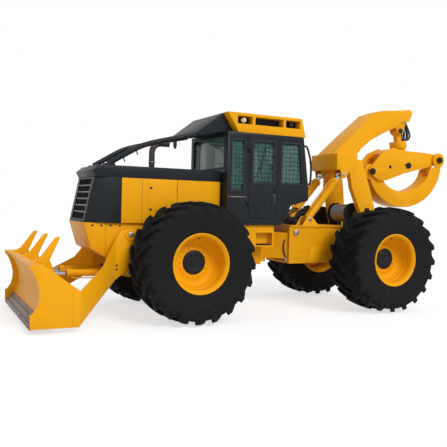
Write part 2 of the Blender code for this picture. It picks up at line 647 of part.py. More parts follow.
def cab_shell():
    shell = plate(CAB_OUTLINE, -CAB_HALF_W, CAB_HALF_W)
    wall = CAB_WALL
    room = plate([(CAB_FRONT - wall, CAB_FLOOR + wall), (CAB_FRONT - wall, CAB_TOP + 0.1), (-0.30, CAB_TOP + 0.1),
                  REAR_WALL_TOP, (-0.436, 2.16), (-0.44, 1.98), (-0.10, 1.885), (-0.02, 1.74),
                  (0.085, CAB_FLOOR + wall)], -CAB_HALF_W + wall, CAB_HALF_W - wall)
    windscreen = box((CAB_FRONT - 0.3, -0.64, 2.42), (CAB_FRONT + 0.1, 0.64, WINDOW_TOP + 0.04))
    rear = box((-0.7, -0.58, 2.26), (-0.25, 0.58, WINDOW_TOP))
    cuts = [room, windscreen, rear]
    for side in (1, -1):
        low, high = sorted((side * (CAB_HALF_W - 0.1), side * (CAB_HALF_W + 0.1)))
        cuts.append(box((DOOR_X[0], low, DOOR_Z[0]), (DOOR_X[1], high, DOOR_Z[1])))
        cuts.append(box((0.80, low, 2.06), (1.05, high, WINDOW_TOP)))
        cuts.append(plate([(-0.36, SILL), (0.09, SILL), (0.09, WINDOW_TOP), (-0.29, WINDOW_TOP)], low, high))
    body = fuse([shell], cuts)
    leaves = []
    for side in (1, -1):
        for z in (1.86, 2.76):
            low, high = sorted((side * (CAB_HALF_W - 0.005), side * (DOOR_PIN[1] + 0.003)))
            leaves.append(box((DOOR_PIN[0] + 0.008, low, z + RUN), (DOOR_PIN[0] + 0.05, high, z + 0.05)))
            leaves.append(rod((DOOR_PIN[0], side * DOOR_PIN[1], z + RUN), (DOOR_PIN[0], side * DOOR_PIN[1], z + 0.05),
                              0.014, sides=10))
    return fuse([body, *leaves])


def cab_door(side):
    x0, x1 = DOOR_X[0] + CLEAR, DOOR_X[1] - CLEAR
    z0, z1 = DOOR_Z[0] + CLEAR, DOOR_Z[1] - CLEAR
    hole = [(x0 + 0.055, SILL), (x1 - 0.055, SILL), (x1 - 0.055, WINDOW_TOP), (x0 + 0.055, WINDOW_TOP)]
    panel = plate([(x0, z0), (x1, z0), (x1, z1), (x0, z1)], CAB_HALF_W - CAB_WALL, CAB_HALF_W, holes=[hole])
    grip = box((x0 + 0.02, CAB_HALF_W - 0.002, 2.05), (x0 + 0.05, CAB_HALF_W + 0.02, 2.15))
    solids = [panel, grip]
    for z in (1.86, 2.76):
        solids.append(box((DOOR_PIN[0] - 0.05, CAB_HALF_W - 0.005, z - 0.05),
                          (DOOR_PIN[0] - 0.008, DOOR_PIN[1] + 0.003, z)))
        solids.append(rod((*DOOR_PIN, z - 0.05), (*DOOR_PIN, z), 0.014, sides=10))
    whole = fuse(solids)
    return whole if side > 0 else flipped(whole)


def cab_roof():
    """The yellow lamp box: an open row of pockets along each side over a solid band."""
    block = plate([(-0.39, CAB_TOP + GAP), (0.93, CAB_TOP + GAP), (1.13, ROOF_TOP), (-0.30, ROOF_TOP)],
                  -CAB_HALF_W, CAB_HALF_W)
    pockets = []
    for side in (1, -1):
        low, high = sorted((side * (CAB_HALF_W - 0.16), side * (CAB_HALF_W + 0.1)))
        # rear and front X of the three pockets
        for rear, front in ((-0.27, 0.02), (0.07, 0.62), (0.67, 0.95)):
            pockets.append(box((rear, low, CAB_TOP + 0.14), (front, high, ROOF_TOP - 0.05)))
    return fuse([block], pockets)


def seat():
    base = box((0.15, -0.14, CAB_FLOOR + CAB_WALL + GAP), (0.45, 0.14, 1.86))
    cushion = box((0.05, -0.25, 1.85), (0.57, 0.25, 1.99))
    back = plate([(0.05, 1.90), (0.16, 1.90), (0.06, 2.62), (-0.04, 2.62)], -0.24, 0.24)
    return fuse([base, cushion, back])


def controls():
    """Dash, steering column and wheel."""
    dash = plate([(0.80, CAB_FLOOR + CAB_WALL + GAP), (CAB_FRONT - CAB_WALL - GAP, CAB_FLOOR + CAB_WALL + GAP),
                  (CAB_FRONT - CAB_WALL - GAP, 2.36), (0.95, 2.36), (0.85, 2.2)], -0.45, 0.45)
    column = rod((0.92, 0, 2.05), (0.74, 0, 2.30), 0.03, sides=10)
    wheel = rod((0.745, 0, 2.295), (0.725, 0, 2.32), 0.18, sides=18)
    return fuse([dash, column, wheel])


PANE = 0.008
PANE_OUT = CAB_HALF_W - CAB_WALL - GAP       # the outer face of the side panes


def front_glass():
    """Windscreen and front quarter panes as one bent band, which the corner posts hide between panes."""
    x, rear = CAB_FRONT - CAB_WALL - GAP, DOOR_X[1] + 0.025
    path = [(rear, PANE_OUT), (x, PANE_OUT), (x, -PANE_OUT), (rear, -PANE_OUT), (rear, PANE - PANE_OUT),
            (x - PANE, PANE - PANE_OUT), (x - PANE, PANE_OUT - PANE), (rear, PANE_OUT - PANE)]
    return plate(path, 2.37 + GAP, WINDOW_TOP + 0.06, "XY")


def rear_glass():
    """Rear window and rear quarter panes, joined behind the leaning corner posts."""
    def wall(z):
        return REAR_WALL_TOP[0] - (REAR_WALL_TOP[1] - z) * REAR_WALL_LEAN + 2 * GAP

    low, high = SILL - 0.03, WINDOW_TOP + 0.03
    rear = plate([(wall(low), low), (wall(high), high), (wall(high) + PANE, high), (wall(low) + PANE, low)],
                 -PANE_OUT, PANE_OUT)
    side = plate([(wall(low), low), (wall(high), high), (0.12, high), (0.12, low)], PANE_OUT - PANE, PANE_OUT)
    return fuse([rear, side, mirrored(side)])


def door_glass(side):
    x0, x1 = DOOR_X[0] + CLEAR + 0.035, DOOR_X[1] - CLEAR - 0.035
    pane = box((x0, PANE_OUT - PANE, SILL - 0.02), (x1, PANE_OUT, WINDOW_TOP + 0.02))
    return pane if side > 0 else flipped(pane)


# Arch and grapple

def arch():
    top = [(-1.36, 2.85), (-2.30, 3.68), (-2.52, 3.76), (-3.32, 3.86), (-3.38, 3.80)]
    under = [(-3.30, 3.62), (-3.12, 3.60), (-2.92, 3.46), (-2.62, 3.34), (-2.26, 3.16), (-2.02, 2.98), (-1.86, 2.80),
             (-1.80, 2.62), (-1.36, 2.62)]

    def narrow(place):
        share = min(max((-place.x - 1.8) / 1.2, 0), 1)
        place.y *= 1 - 0.42 * share
        return place

    boom = bend(plate(top + under, -0.26, 0.26), (("X", -1.8), ("X", -3.0)), narrow)
    beam = box((-1.80, -0.415, 2.54), (-1.33, 0.415, 2.84))
    leg_outline = [(-1.62, 2.56), (-1.66, 2.2), (-1.80, 1.80), (-1.92, 1.34), (-2.02, 1.29), (-2.13, 1.34), (-2.17, 1.80),
                   (-2.07, 2.25), (-1.93, 2.75), (-1.70, 2.75)]

    def splay(place):
        share = min(max((2.6 - place.z) / 0.85, 0), 1)
        place.y += share * 0.13
        return place

    foot = sum(ARCH_FOOT_Y) / 2
    leg = bend(plate(leg_outline, foot - 0.13 - 0.055, foot - 0.13 + 0.055), (("Z", 2.6), ("Z", 1.75)), splay)
    boss = across(*ARCH_PIN, (ARCH_FOOT_Y[1] - ARCH_FOOT_Y[0]) / 2 - 0.002, 0.13, 18, foot)
    lugs = []
    x, z = ARCH_CYL_EYE
    lug_outline = [(x + 0.09, 2.58), (x + 0.06, z - 0.05), (x, z - 0.08), (x - 0.06, z - 0.05), (x - 0.16, 2.58)]
    for y in (ARCH_CYL_Y, -ARCH_CYL_Y):
        lugs += [plate(lug_outline, y + offset - LUG_T / 2, y + offset + LUG_T / 2)
                 for offset in (-ARCH_LUG, ARCH_LUG)]
        lugs.append(across(x, z, ARCH_LUG, 0.024, 12, y))
    x, z = HANGER_PIN
    ear = [(x - 0.16, 3.68), (x - 0.07, z - 0.04), (x, z - 0.08), (x + 0.07, z - 0.04), (x + 0.16, 3.60)]
    ears = [plate(ear, y - 0.02, y + 0.02) for y in (-0.09, 0.09)]
    pin = across(x, z, 0.10, HANGER_PIN_R, 12)
    bores = [across(*ARCH_PIN, 0.2, bored(ARCH_PIN_R), 14, y=s * foot) for s in (1, -1)]
    return fuse([boom, beam, leg, mirrored(leg), boss, mirrored(boss), *lugs, *ears, pin], bores)


def hanger():
    """The swinging link between the arch's tip and the rotator, made upright and then leant."""
    gx, gz = GRAPPLE_MID
    top = across(gx, gz + HANG, 0.062, 0.08)
    neck = box((gx - 0.055, -0.055, gz + ROTATOR_SEAT + 0.08), (gx + 0.055, 0.055, gz + HANG - 0.03))
    motor = rod((gx, 0, gz + ROTATOR_SEAT), (gx, 0, gz + ROTATOR_SEAT + 0.14), 0.17, sides=20)
    link = fuse([top, neck, motor], [across(gx, gz + HANG, 0.2, bored(HANGER_PIN_R), 14)])
    return turn(link, GRAPPLE_TILT, gx, gz)


def grapple_head():
    """The box that both tongs hang from: wide cheeks in front, a narrower box behind."""
    gx, gz = GRAPPLE_MID
    reach = TONG_REACH
    cheek = [(gx + reach + 0.07, gz - 0.02), (gx + reach + 0.06, gz + 0.06), (gx + 0.62, gz + 0.34),
             (gx + 0.34, gz + 0.40), (gx - 0.05, gz + 0.26), (gx - 0.14, gz + 0.10), (gx - 0.12, gz - 0.06),
             (gx, gz - 0.12), (gx + 0.60, gz - 0.22), (gx + 0.78, gz - 0.20)]
    cheeks = [plate(cheek, s * 0.22 - 0.02, s * 0.22 + 0.02) for s in (1, -1)]
    inner = plate([(gx + 0.60, gz + 0.32), (gx + 0.34, gz + 0.38), (gx - 0.60, gz + 0.20),
                   (gx - reach + 0.02, gz + 0.12), (gx - reach - 0.08, gz + 0.02), (gx - reach - 0.02, gz - 0.07),
                   (gx - 0.55, gz - 0.12), (gx + 0.10, gz - 0.16), (gx + 0.50, gz - 0.12)], -0.10, 0.10)
    cap = box((gx - 0.20, -0.21, gz + 0.02), (gx + 0.50, 0.21, gz + 0.22))
    pins = [across(gx + s * reach, gz, 0.25 if s > 0 else 0.19, 0.04, 12) for s in (1, -1)]
    pins.append(across(gx, gz, 0.25, 0.045, 12))
    pad = rod((gx, 0, gz + 0.15), (gx, 0, gz + ROTATOR_SEAT - 2 * GAP), 0.14, sides=20)
    return turn(fuse([inner, *cheeks, cap, *pins, pad]), GRAPPLE_TILT, gx, gz)


def tong(front):
    """One curved claw; the two close tip to tip below the head."""
    side = 1 if front else -1
    gx, gz = GRAPPLE_MID
    px = gx + side * TONG_REACH
    outer = [(gx + side * 1.06 * TONG_REACH * x, gz + 0.02 + 0.86 * z) for x, z in arc(0, 0, 1, -8, -88, 7)]
    inner = [(gx + side * 0.66 * x, gz - 0.10 + 0.42 * z) for x, z in arc(0, 0, 1, -84, -8, 5)]
    claw_half = 0.185 if front else 0.155
    claw = plate(outer + [(gx + side * 0.004, gz - 0.84), (gx + side * 0.004, gz - 0.52)] + inner,
                 -claw_half, claw_half)
    phase = (0 if front else 180) + GRAPPLE_TILT
    ring = arc(px, gz, TONG_EYE_R, phase, phase + 360 - 360 / TONG_SIDES, TONG_SIDES - 1)
    eye = plate(ring, -claw_half - 0.006, claw_half + 0.006)
    slot = box((gx - 1.3, -0.105 - CLEAR, gz - 0.30), (gx + 1.3, 0.105 + CLEAR, gz + 0.6))
    cuts = [slot, across(px, gz, 0.4, bored(0.04), 14)]
    return turn(fuse([claw, eye], cuts), GRAPPLE_TILT, gx, gz)


def winch():
    x, z = WINCH_X, DECK + 0.24
    drum = across(x, z, 0.26, 0.13)
    flanges = [across(x, z, 0.015, 0.20, 18, s * 0.26) for s in (1, -1)]
    stand = [box((x - 0.14, s * 0.26 - 0.014, DECK - 0.001 + GAP), (x + 0.14, s * 0.26 + 0.014, z)) for s in (1, -1)]
    return fuse([drum, *flanges, *stand])


clear_scene()
MODEL = collection("skidder")
YELLOW = material("yellow paint", (0.78, 0.36, 0.01), 0.35)
BLACK = material("dark paint", (0.03, 0.033, 0.037), 0.4)
RUBBER = material("tyre rubber", (0.013, 0.013, 0.014), 0.85)
STEEL = material("worn steel", (0.18, 0.13, 0.11), 0.5, 0.8)
CHROME = material("rod chrome", (0.6, 0.6, 0.6), 0.15, 1.0)
GLASS = material("glass", (0.2, 0.35, 0.3), 0.05)
CLOTH = material("seat cloth", (0.03, 0.03, 0.03), 0.9)

mesh, AXLE_Z = lugged_tyre(0, 0, 0)
bpy.data.objects.remove(mesh)

body_empty("front_frame", (0, 0, 0))
body_empty("rear_frame", (PIVOT_X, 0, 1.1), "front_frame")
body_empty("blade", (BLADE_PIN[0], 0, BLADE_PIN[1]), "front_frame")
body_empty("arch", (ARCH_PIN[0], 0, ARCH_PIN[1]), "rear_frame")
body_empty("hanger", (HANGER_PIN[0], 0, HANGER_PIN[1]), "arch")
body_empty("grapple_head", (GRAPPLE_MID[0] + ROTATOR_SEAT * TILT_SIN, 0, GRAPPLE_MID[1] + ROTATOR_SEAT * TILT_COS),
           "hanger")
for front in (True, False):
    sign = 1 if front else -1
    body_empty("tong_front" if front else "tong_rear",
               (GRAPPLE_MID[0] + sign * TONG_REACH * TILT_COS, 0, GRAPPLE_MID[1] - sign * TONG_REACH * TILT_SIN),
               "grapple_head")
for side, word in ((1, "left"), (-1, "right")):
    body_empty("cab_door_" + word, (DOOR_PIN[0], side * DOOR_PIN[1], DOOR_Z[0]), "front_frame")

# end, sign along X, body that carries the axle
for end, sign, carrier in (("front", 1, "front_frame"), ("rear", -1, "rear_frame")):
    build(end + "_axle", YELLOW, carrier, axle(sign * HALF_WHEELBASE, AXLE_Z, HALF_TRACK + HUB_BACK_Y - RUN))
    for side, word in ((1, "left"), (-1, "right")):
        name = "wheel_" + end + "_" + word
        place = (sign * HALF_WHEELBASE, side * HALF_TRACK, AXLE_Z)
        body_empty(name, place, carrier)
        build("tyre_" + end + "_" + word, RUBBER, name, lugged_tyre(*place)[0])
        build("rim_" + end + "_" + word, YELLOW, name, rim(*place, side))

build("front_frame", YELLOW, "front_frame", front_frame())
build("engine_block", STEEL, "front_frame",
      box((1.45, -0.38, FRAME_TOP + GAP), (2.75, 0.38, 2.10)))
build("nose", YELLOW, "front_frame", nose())
build("grille", BLACK, "front_frame", grille())
build("hood_top", BLACK, "front_frame", hood_top())
for side, word in ((1, "left"), (-1, "right")):
    build("hood_side_" + word, YELLOW, "front_frame", hood_side(side))
build("exhaust", STEEL, "front_frame", exhaust())
build("canopy_guard", BLACK, "front_frame", canopy_guard())
build("cab_shell", BLACK, "front_frame", cab_shell())
build("cab_roof", YELLOW, "front_frame", cab_roof())
build("cab_glass_front", GLASS, "front_frame", front_glass())
build("cab_glass_rear", GLASS, "front_frame", rear_glass())
build("seat", CLOTH, "front_frame", seat())
build("controls", BLACK, "front_frame", controls())
for side, word in ((1, "left"), (-1, "right")):
    build("cab_door_" + word, BLACK, "cab_door_" + word, cab_door(side))
    build("door_glass_" + word, GLASS, "cab_door_" + word, door_glass(side))

build("blade", YELLOW, "blade", blade())
build("cutting_edge", STEEL, "blade", cutting_edge())
build("rear_frame", YELLOW, "rear_frame", rear_frame())
build("winch", BLACK, "rear_frame", winch())
build("arch", YELLOW, "arch", arch())
build("hanger", YELLOW, "hanger", hanger())
build("grapple_head", YELLOW, "grapple_head", grapple_head())
build("tong_front", YELLOW, "tong_front", tong(True))
build("tong_rear", YELLOW, "tong_rear", tong(False))

# name, body's name, pin, eye, distance from the middle, barrel and rod radius, barrel's share of the length,
# rod's free way in, eye radius, pin radius, rod eye's hole, half width of the eyes, carrier
for name, body, pin, eye, y, bore_r, rod_r, share, travel_in, eye_r, pin_r, hole, half_w, carrier in (
        ("blade_cylinder", "blade", BLADE_CYL_PIN, BLADE_CYL_EYE, BLADE_CYL_Y, 0.055, 0.028, 0.80, 0.16, 0.055,
         BLADE_CYL_PIN_R, 0.040, BLADE_LUG - LUG_T / 2 - 0.003, "front_frame"),
        ("arch_cylinder", "arch", ARCH_CYL_PIN, ARCH_CYL_EYE, ARCH_CYL_Y, 0.075, 0.035, 0.86, 0.11, 0.060,
         ARCH_CYL_PIN_R, 0.042, ARCH_LUG - LUG_T / 2 - 0.003, "rear_frame")):
    for side, word in ((1, "left"), (-1, "right")):
        barrel_body, rod_body = body + "_barrel_" + word, body + "_rod_" + word
        body_empty(barrel_body, (pin[0], side * y, pin[1]), carrier)
        body_empty(rod_body, (eye[0], side * y, eye[1]), barrel_body)
        barrel, shaft = cylinder(pin, eye, side * y, bore_r, rod_r, share, travel_in, eye_r, pin_r, hole,
                                 half_w)
        build(name + "_" + word + "_barrel", YELLOW, barrel_body, barrel)
        build(name + "_" + word + "_rod", CHROME, rod_body, shaft)
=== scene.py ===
"""Finishes a grapple skidder: tyres with curved lugs, painted plates with rounded edges, glass behind
wire guards, hoses, lamps and a white studio. Sizes are metres, +X is forwards and +Y is the driver's left."""
import contextlib
import math

import bpy
from mathutils import Matrix, Vector


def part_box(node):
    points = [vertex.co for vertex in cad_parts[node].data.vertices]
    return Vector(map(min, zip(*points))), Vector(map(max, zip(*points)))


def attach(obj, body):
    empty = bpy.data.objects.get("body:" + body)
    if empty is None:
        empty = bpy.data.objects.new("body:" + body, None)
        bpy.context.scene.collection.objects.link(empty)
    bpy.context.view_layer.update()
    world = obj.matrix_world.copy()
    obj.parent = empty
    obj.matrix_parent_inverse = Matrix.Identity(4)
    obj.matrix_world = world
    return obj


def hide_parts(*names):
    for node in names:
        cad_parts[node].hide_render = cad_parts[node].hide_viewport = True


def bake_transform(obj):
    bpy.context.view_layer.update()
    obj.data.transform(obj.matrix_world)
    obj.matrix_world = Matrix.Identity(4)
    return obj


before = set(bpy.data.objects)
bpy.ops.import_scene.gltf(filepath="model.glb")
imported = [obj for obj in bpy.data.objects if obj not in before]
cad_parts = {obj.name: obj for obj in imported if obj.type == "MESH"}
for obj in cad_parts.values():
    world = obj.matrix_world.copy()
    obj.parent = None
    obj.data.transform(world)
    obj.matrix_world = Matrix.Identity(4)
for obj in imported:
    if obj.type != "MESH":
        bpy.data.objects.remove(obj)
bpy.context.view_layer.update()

bl_info = {
    "name": "Grapple Skidder Finish",
    "version": (1, 0, 0),
    "blender": (4, 5, 0),
    "location": "3D View > Sidebar > Skidder",
    "description": "Tyres, paint, glass, guards, hoses and studio for the grapple skidder",
    "category": "Object",
}

UP = Vector((0, 0, 1))
SIDES = (("left", 1), ("right", -1))
SIGNS = (1, -1)
WHEELS = [(end, word, sign) for end in ("front", "rear") for word, sign in SIDES]

# Wheels
LUGS = 20
LUG_H = 0.058
LUG_SWEEP = math.radians(17)
HUB_R = 0.186
NUT_CIRCLE = 0.229
NUTS = 16
HALF_WHEELBASE = 1.865

# Places that the solids share
BLADE_PIN = (2.72, 1.33)
ARM_FACE_Y = 0.7125
BLADE_CYL = ((2.62, 0.70), (3.83, 0.72), 0.26)
ARCH_PIN = (-2.02, 1.40)
ARCH_FOOT_Y = 0.535
ARCH_CYL = ((-0.76, 1.60), (-1.50, 2.46), 0.30)
GRAPPLE_MID = (-3.2341, 2.72)
GRAPPLE_TILT = math.radians(10)
HANGER_PIN = (-3.1108, 3.4192)
TONG_REACH = 0.93
FRAME_SIDE_Y = 0.40
DECK_Z = 1.49
WINCH_Z = DECK_Z + 0.24
DRUM_R = 0.13
HOOD_SIDE_Y = 0.55
GRILLE_LOW = (3.395, 1.50)
GRILLE_HIGH = (3.25, 2.20)
CAB_SIDE_Y = 0.75
CAB_WALL = 0.04
STEP_Y = 0.70
# name, body, and the outline of each side window
WINDOWS = (("quarter_front", "front_frame", ((0.80, 2.06), (1.05, 2.06), (1.05, 2.92), (0.80, 2.92))),
           ("quarter_rear", "front_frame", ((-0.36, 2.20), (0.09, 2.20), (0.09, 2.92), (-0.29, 2.92))),
           ("door", "cab_door", ((0.221, 2.20), (0.649, 2.20), (0.649, 2.92), (0.221, 2.92))))
HOOD_DOOR_Y = 0.558
ROOF_POCKETS = ((-0.27, 0.02), (0.07, 0.62), (0.67, 0.95))
# X and Z of what is cut from the front of the blade's cheeks, and from each finger
CHEEK_HOLLOW = ((4.40, 0.285), (4.262, 0.285), (4.20, 0.37), (4.172, 0.48), (4.168, 0.58), (4.188, 0.69),
                (4.225, 0.79), (4.272, 0.885), (4.40, 0.905))
FACE_HOLLOW = ((4.40, 0.30), (4.1215, 0.30), (4.0815, 0.42), (4.0915, 0.62), (4.1615, 0.80), (4.235, 0.885),
               (4.40, 0.885))
FINGER_YS = (-0.92, 0.0, 0.92)
FINGER_TRIM = ((3.60, 1.42), (3.838, 1.42), (3.836, 1.29), (3.972, 0.985), (3.904, 0.80), (3.60, 0.80))
GUARD_TUBE = ((1.30, 0.56, 3.02), (1.62, 0.545, 2.95), (2.2, 0.51, 2.81), (2.45, 0.50, 2.74),
              (2.62, 0.49, 2.66), (3.02, 0.45, 2.415))
STEP = ((0.17, 0.385, 1.127), (0.85, STEP_Y, 1.4997))
STEP_RECESS = ((0.20, 0.57, 1.152), (0.52, 0.72, 1.365))

# The camera that fits the photograph
CAMERA_AT = (5.63876, 9.70804, 1.82029)
CAMERA_YAW, CAMERA_PITCH, CAMERA_ROLL = 0.4632, -0.03018, 0.02759
CAMERA_LENS = 49.34

FINISHES = {}
FITTINGS = {}


# Picking and editing

def pick(*pieces):
    """Select these objects alone, with the last one active."""
    bpy.ops.object.select_all(action="DESELECT")
    for piece in pieces:
        piece.select_set(True)
        bpy.context.view_layer.objects.active = piece


@contextlib.contextmanager
def editing(piece, mode="FACE"):
    """Edit mode with everything selected."""
    pick(piece)
    bpy.ops.object.mode_set(mode="EDIT")
    bpy.ops.mesh.select_mode(type=mode)
    bpy.ops.mesh.select_all(action="SELECT")
    yield piece
    bpy.ops.object.mode_set(mode="OBJECT")


def reshape(piece, move):
    """Move each vertex by a function of its place."""
    for vertex in piece.data.vertices:
        vertex.co = move(vertex.co.copy())


def modify(piece, kind, **settings):
    """Add a modifier and apply it."""
    pick(piece)
    modifier = piece.modifiers.new(kind.lower(), kind)
    for key, value in settings.items():
        setattr(modifier, key, value)
    bpy.ops.object.modifier_apply(modifier=modifier.name)


def round_edges(piece, width, segments=2, angle=30):
    modify(piece, "BEVEL", width=width, segments=segments, limit_method="ANGLE",
           angle_limit=math.radians(angle), use_clamp_overlap=True)


def smooth(piece, angle=35):
    pick(piece)
    bpy.ops.object.shade_smooth_by_angle(angle=math.radians(angle))


def settle(piece):
    """Put the object at the origin, with its place in its mesh."""
    pick(piece)
    bpy.ops.object.transform_apply(location=True, rotation=True, scale=True)
    return piece


def join(name, pieces):
    pick(*pieces)
    if len(pieces) > 1:
        bpy.ops.object.join()
    piece = bpy.context.active_object
    piece.name = piece.data.name = name
    return piece


# Shapes

PLANES = {"XZ": lambda p, d: Vector((p[0], d, p[1])),
          "XY": lambda p, d: Vector((p[0], p[1], d)),
          "YZ": lambda p, d: Vector((d, p[0], p[1]))}


def block(name, low, high, bevel=0.004):
    """A box with rounded edges."""
    low, high = Vector(low), Vector(high)
    bpy.ops.mesh.primitive_cube_add(size=1, location=(low + high) / 2, scale=high - low)
    piece = settle(bpy.context.active_object)
    piece.name = name
    if bevel:
        round_edges(piece, bevel)
    return piece


def sided_block(name, sign, low, high, bevel=0.004):
    """A block given for the left side, and mirrored where sign is -1."""
    near, far = sorted((sign * low[1], sign * high[1]))
    return block(name, (low[0], near, low[2]), (high[0], far, high[2]), bevel)


def bar(name, start, end, radius, sides=20, bevel=0.0, end_radius=None):
    """A round bar between two points."""
    start, end = Vector(start), Vector(end)
    bpy.ops.mesh.primitive_cone_add(vertices=sides, radius1=radius,
                                    radius2=radius if end_radius is None else end_radius,
                                    depth=(end - start).length, location=(start + end) / 2,
                                    rotation=(end - start).to_track_quat("Z", "Y").to_euler())
    piece = settle(bpy.context.active_object)
    piece.name = name
    if bevel:
        round_edges(piece, bevel, 2, 40)
    return piece


def trace(name, points):
    """A chain of edges, drawn by extruding one vertex from point to point."""
    bpy.ops.mesh.primitive_plane_add(size=0.1)
    piece = bpy.context.active_object
    piece.name = name
    bpy.ops.object.mode_set(mode="EDIT")
    bpy.ops.mesh.select_mode(type="VERT")
    bpy.ops.mesh.select_all(action="SELECT")
    bpy.ops.mesh.merge(type="CENTER")
    bpy.ops.transform.translate(value=points[0])
    for here, there in zip(points, points[1:]):
        bpy.ops.mesh.extrude_region_move(TRANSFORM_OT_translate={"value": there - here})
    return piece


def drawn(name, outline, low, high, plane="XZ", bevel=0.004):
    """A plate: an outline traced in a plane, filled and extruded from low to high."""
    place = PLANES[plane]
    piece = trace(name, [place(point, low) for point in outline])
    bpy.ops.mesh.select_all(action="SELECT")
    bpy.ops.mesh.edge_face_add()
    bpy.ops.mesh.extrude_region_move(TRANSFORM_OT_translate={"value": place((0, 0), high - low)})
    bpy.ops.mesh.select_all(action="SELECT")
    bpy.ops.mesh.normals_make_consistent(inside=False)
    bpy.ops.object.mode_set(mode="OBJECT")
    if bevel:
        round_edges(piece, bevel)
    return piece


def spun(name, profile, centre, steps=48, flip=1, axis="Y"):
    """A closed profile of (radius, height) turned about an axis through a centre."""
    along = {"Y": Vector((0, flip, 0)), "Z": Vector((0, 0, flip))}[axis]
    out = {"Y": Vector((0, 0, 1)), "Z": Vector((1, 0, 0))}[axis]
    centre = Vector(centre)
    points = [centre + out * radius + along * height for radius, height in profile]
    piece = trace(name, points + [points[0]])
    bpy.ops.mesh.select_all(action="SELECT")
    bpy.ops.mesh.remove_doubles(threshold=0.00005)
    bpy.ops.mesh.select_all(action="SELECT")
    bpy.ops.mesh.spin(steps=steps, angle=math.tau, center=centre, axis=along)
    bpy.ops.mesh.select_all(action="SELECT")
    bpy.ops.mesh.remove_doubles(threshold=0.00005)
    bpy.ops.mesh.select_all(action="SELECT")
    bpy.ops.mesh.normals_make_consistent(inside=False)
    bpy.ops.object.mode_set(mode="OBJECT")
    return piece


def pipe(name, points, radius, curl=6, sides=3):
    """A pipe or hose on a smooth curve that its inner points pull towards them."""
    points = [Vector(point) for point in points]
    while len(points) < 5:
        middle = len(points) // 2
        points.insert(middle, (points[middle - 1] + points[middle]) / 2)
    bpy.ops.curve.primitive_nurbs_path_add(radius=1)
    route = bpy.context.active_object
    route.name = name
    spline = route.data.splines[0]
    spline.points.add(len(points) - len(spline.points))
    for point, place in zip(spline.points, points):
        point.co = (*place, 1)
    spline.use_endpoint_u = True
    spline.order_u = 3
    route.data.resolution_u = curl
    route.data.bevel_depth = radius
    route.data.bevel_resolution = sides
    route.data.use_fill_caps = True
    pick(route)
    bpy.ops.object.convert(target="MESH")
    piece = settle(bpy.context.active_object)
    with editing(piece, "VERT"):
        bpy.ops.mesh.remove_doubles(threshold=0.0001)
        bpy.ops.mesh.normals_make_consistent(inside=False)
    return piece


def border(name, outline, low, high, width, plane="XZ", bevel=0.002):
    """A flat frame of even width inside an outline."""
    place = PLANES[plane]
    piece = trace(name, [place(point, low) for point in outline])
    bpy.ops.mesh.select_all(action="SELECT")
    bpy.ops.mesh.edge_face_add()
    bpy.ops.mesh.select_mode(type="FACE")
    bpy.ops.mesh.inset(thickness=width)
    bpy.ops.mesh.delete(type="FACE")
    bpy.ops.mesh.select_all(action="SELECT")
    bpy.ops.mesh.extrude_region_move(TRANSFORM_OT_translate={"value": place((0, 0), high - low)})
    bpy.ops.mesh.select_all(action="SELECT")
    bpy.ops.mesh.normals_make_consistent(inside=False)
    bpy.ops.object.mode_set(mode="OBJECT")
    if bevel:
        round_edges(piece, bevel)
    return piece


def ring(name, centre, around, radius, thick, segments=32, sides=10):
    """A round ring about an axis."""
    bpy.ops.mesh.primitive_torus_add(major_radius=radius, minor_radius=thick, major_segments=segments,
                                     minor_segments=sides, location=Vector(centre),
                                     rotation=Vector(around).to_track_quat("Z", "Y").to_euler())
    piece = settle(bpy.context.active_object)
    piece.name = name
    return piece


def across_both(name, make):
    """The pieces that a function makes for each side, joined."""
    return join(name, [make(sign) for sign in SIGNS])


def across_band(sign, inner, outer):
    """The low and high Y of a band on one side of the machine."""
    return sorted((sign * inner, sign * outer))


def angles(count, offset=0.0):
    """Angles evenly round a circle."""
    return [math.tau * (index + offset) / count for index in range(count)]


def bolt_circle(centre, radius, count, bolt, sign, offset=0.0):
    """Bolts evenly round a place, on a face that looks to one side."""
    x, y, z = centre
    return [((x + radius * math.cos(angle), y, z + radius * math.sin(angle)), (0, sign, 0), bolt)
            for angle in angles(count, offset)]


def on_grapple(along, up, y=0.0):
    """A place given along and up from the middle of the leaning grapple head."""
    turned_x = along * math.cos(GRAPPLE_TILT) + up * math.sin(GRAPPLE_TILT)
    turned_z = up * math.cos(GRAPPLE_TILT) - along * math.sin(GRAPPLE_TILT)
    return Vector((GRAPPLE_MID[0] + turned_x, y, GRAPPLE_MID[1] + turned_z))


def hose(name, body, points, radius):
    """A hose with a crimped ferrule and a hexagon nut at each end, which join the body's other fittings."""
    points = [Vector(point) for point in points]
    for end, inner in ((points[0], points[1]), (points[-1], points[-2])):
        out = (inner - end).normalized()
        ferrule = bar("ferrule", end - out * 0.004, end + out * 0.055, radius * 1.28, 12, 0.0015)
        nut = bar("nut", end - out * 0.012, end + out * 0.014, radius * 1.75, 6, 0.0015)
        FITTINGS.setdefault(body, []).extend([ferrule, nut])
    return fit(pipe(name, points, radius), "hose", body)


def paint_hose(piece):
    piece.data.materials.clear()
    piece.data.materials.append(FINISHES["hose"])
    smooth(piece)


def copies(name, template, matrices, keep=False):
    """One piece made of copies of another, each with its own mesh."""
    made = []
    for matrix in matrices:
        piece = bpy.data.objects.new(name, template.data.copy())
        piece.data.transform(matrix)
        bpy.context.collection.objects.link(piece)
        made.append(piece)
    if not keep:
        bpy.data.objects.remove(template)
    return join(name, made)


